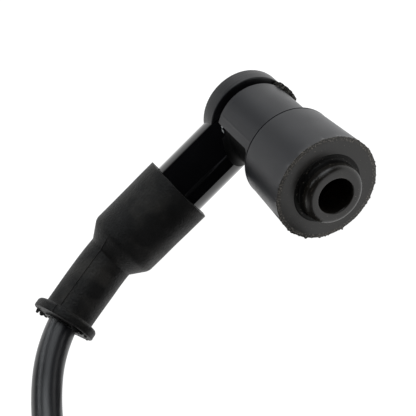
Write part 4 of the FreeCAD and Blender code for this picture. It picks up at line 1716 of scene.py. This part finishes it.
@dataclass
class Studio:
    """The pale floor, the soft light and the camera."""

    elbow: Vector
    floor: float
    focal_length: float = 121.15
    distance: Tuple[float, float, float] = (-0.01158, -0.25295, 0.20183)
    azimuth: float = math.radians(2.34)
    elevation: float = math.radians(39.95)
    roll: float = math.radians(-46.25)
    floor_size: float = 6.0

    def build(self) -> None:
        """Makes the floor, the world, the lights and the camera."""
        self.make_floor()
        self.make_reflected_shade()
        self.make_world()
        self.make_lights()
        self.make_camera()

    def make_floor(self) -> None:
        """A large white floor that glows, as a light table does."""
        half = self.floor_size / 2
        corners = ((-half, -half), (half, -half), (half, half), (-half, half))
        table = self.sheet("light_table", [(x, y, self.floor) for x, y in corners], 0.1)
        shader = table.active_material.node_tree.nodes["Principled BSDF"]
        shader.inputs["Roughness"].default_value = 0.9
        shader.inputs["Emission Color"].default_value = (1, 1, 1, 1)
        shader.inputs["Emission Strength"].default_value = 1.02

    def make_reflected_shade(self) -> None:
        """Painted shade: a black sheet on the table, seen only in reflections, that stands in for the
        shadow on the floor in front of the arm and keeps the table's glow off the side of the arm that
        faces the camera.
        """
        near, far, left, right = -14, -3000, -70, -10
        outline = ((left, near), (left, far), (right, far), (right, near))
        lift = self.floor + 0.1 * MM
        spots = [(self.elbow.x + x * MM, self.elbow.y + y * MM, lift) for x, y in outline]
        # Painted shade: black, and hidden from the camera, from diffuse light and from shadows.
        shade_sheet = self.sheet("black_flag", spots, 0.0)
        shade_sheet.visible_camera = False
        shade_sheet.visible_diffuse = False
        shade_sheet.visible_shadow = False

    @staticmethod
    def sheet(name: str, spots: Sequence[Tuple[float, float, float]], shade: float) -> bpy.types.Object:
        """A flat sheet of the stage in a matt grey.

        Args:
            name: the name of the sheet and its material.
            spots: its corners, in metres.
            shade: its grey, from 0 for black to 1 for white.

        Returns:
            The sheet.
        """
        mesh = bpy.data.meshes.new(name)
        mesh.from_pydata(spots, [], [range(len(spots))])
        material = bpy.data.materials.new(name)
        material.use_nodes = True
        shader = material.node_tree.nodes["Principled BSDF"]
        shader.inputs["Base Color"].default_value = (shade, shade, shade, 1)
        shader.inputs["Specular IOR Level"].default_value = 0.0
        mesh.materials.append(material)
        thing = placed(name, mesh)
        return thing

    def make_world(self) -> None:
        """A dark room whose bright back wall ends a little above the table."""
        world = bpy.data.worlds.new("studio")
        bpy.context.scene.world = world
        world.use_nodes = True
        tree = world.node_tree
        background = tree.nodes["Background"]
        place = tree.nodes.new("ShaderNodeTexCoord")
        tilt = tree.nodes.new("ShaderNodeVectorMath")
        tilt.operation = "DOT_PRODUCT"
        tilt.inputs[1].default_value = (0, -0.4, 1)
        ramp = tree.nodes.new("ShaderNodeValToRGB")
        first, last = ramp.color_ramp.elements
        first.position, first.color = 0.16, (1, 1, 1, 1)
        last.position, last.color = 0.34, (0.006, 0.006, 0.007, 1)
        tree.links.new(place.outputs["Generated"], tilt.inputs[0])
        tree.links.new(tilt.outputs["Value"], ramp.inputs["Fac"])
        tree.links.new(ramp.outputs["Color"], background.inputs["Color"])
        background.inputs["Strength"].default_value = 1.0

    def lamp(
        self,
        name: str,
        spot: Tuple[float, float, float],
        size: Tuple[float, float],
        power: float,
        glossy: bool = True,
    ) -> None:
        """One soft rectangular lamp aimed at the elbow.

        Args:
            name: the lamp's name.
            spot: its place from the elbow, in metres.
            size: its width and height, in metres.
            power: its power, in watts.
            glossy: whether shiny surfaces mirror it.
        """
        data = bpy.data.lights.new(name, "AREA")
        data.shape = "RECTANGLE"
        data.size, data.size_y = size
        data.energy = power
        data.color = (0.93, 0.97, 1.0)
        lamp = placed(name, data)
        lamp.location = self.elbow + Vector(spot)
        lamp.rotation_mode = "QUATERNION"
        lamp.rotation_quaternion = (-Vector(spot)).to_track_quat("-Z", "Y")
        lamp.visible_glossy = glossy

    def make_lights(self) -> None:
        """Three soft boxes on the right, a row of small lamps over the arm, and one lamp overhead."""
        self.lamp("key_box", (0.48, 0.44, 0.52), (0.8, 0.6), 0.6)
        self.lamp("lead_box", (0.36, -0.03, 0.66), (0.45, 0.6), 1.9)
        self.lamp("front_box", (0.29, -0.41, 0.59), (0.3, 0.4), 0.45)
        for turn, side in enumerate((0.33, 0.2, 0.06)):
            spot = (-0.17 - 0.02 * turn, side, 0.5 + 0.05 * turn)
            self.lamp(f"glint_{turn}", spot, (0.08, 0.2), 0.16)
        self.lamp("overhead", (0.15, 0.25, 0.9), (1.0, 1.0), 3.4, glossy=False)

    def make_camera(self) -> None:
        """The camera, turned about its own axis as a hand-held one is."""
        data = bpy.data.cameras.new("camera")
        data.lens = self.focal_length
        data.sensor_width = 36.0
        data.clip_start, data.clip_end = 0.01, 20.0
        camera = placed("camera", data)
        place = Matrix.Translation(self.elbow + Vector(self.distance))
        heading = Matrix.Rotation(self.azimuth, 4, "Z")
        tilt = Matrix.Rotation(math.pi / 2 - self.elevation, 4, "X")
        camera.matrix_world = place @ heading @ tilt @ Matrix.Rotation(self.roll, 4, "Z")
        bpy.context.scene.camera = camera
        bpy.context.scene.view_settings.view_transform = "Standard"


def main() -> None:
    """Builds the looks round the frame, in order from the camera outwards."""
    logging.basicConfig(level=logging.INFO, format="%(name)s: %(message)s")
    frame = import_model()
    hinge = next(joint for joint in frame["joints"] if joint["name"] == "cap_turn")
    elbow = Vector(hinge["pos_m"])
    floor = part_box("coil_case")[0].z
    Studio(elbow, floor).build()
    Lead(elbow, floor).build()
    cap = PlugCap(elbow)
    cap.build()
    PlugBoot(cap.barrel_axis).build()
    CableBoot(elbow).build()
    StackedCore().build()
    CoilBlock(elbow).build()
    dress_nodes()
    bpy.context.view_layer.update()


if __name__ == "__main__":
    main()
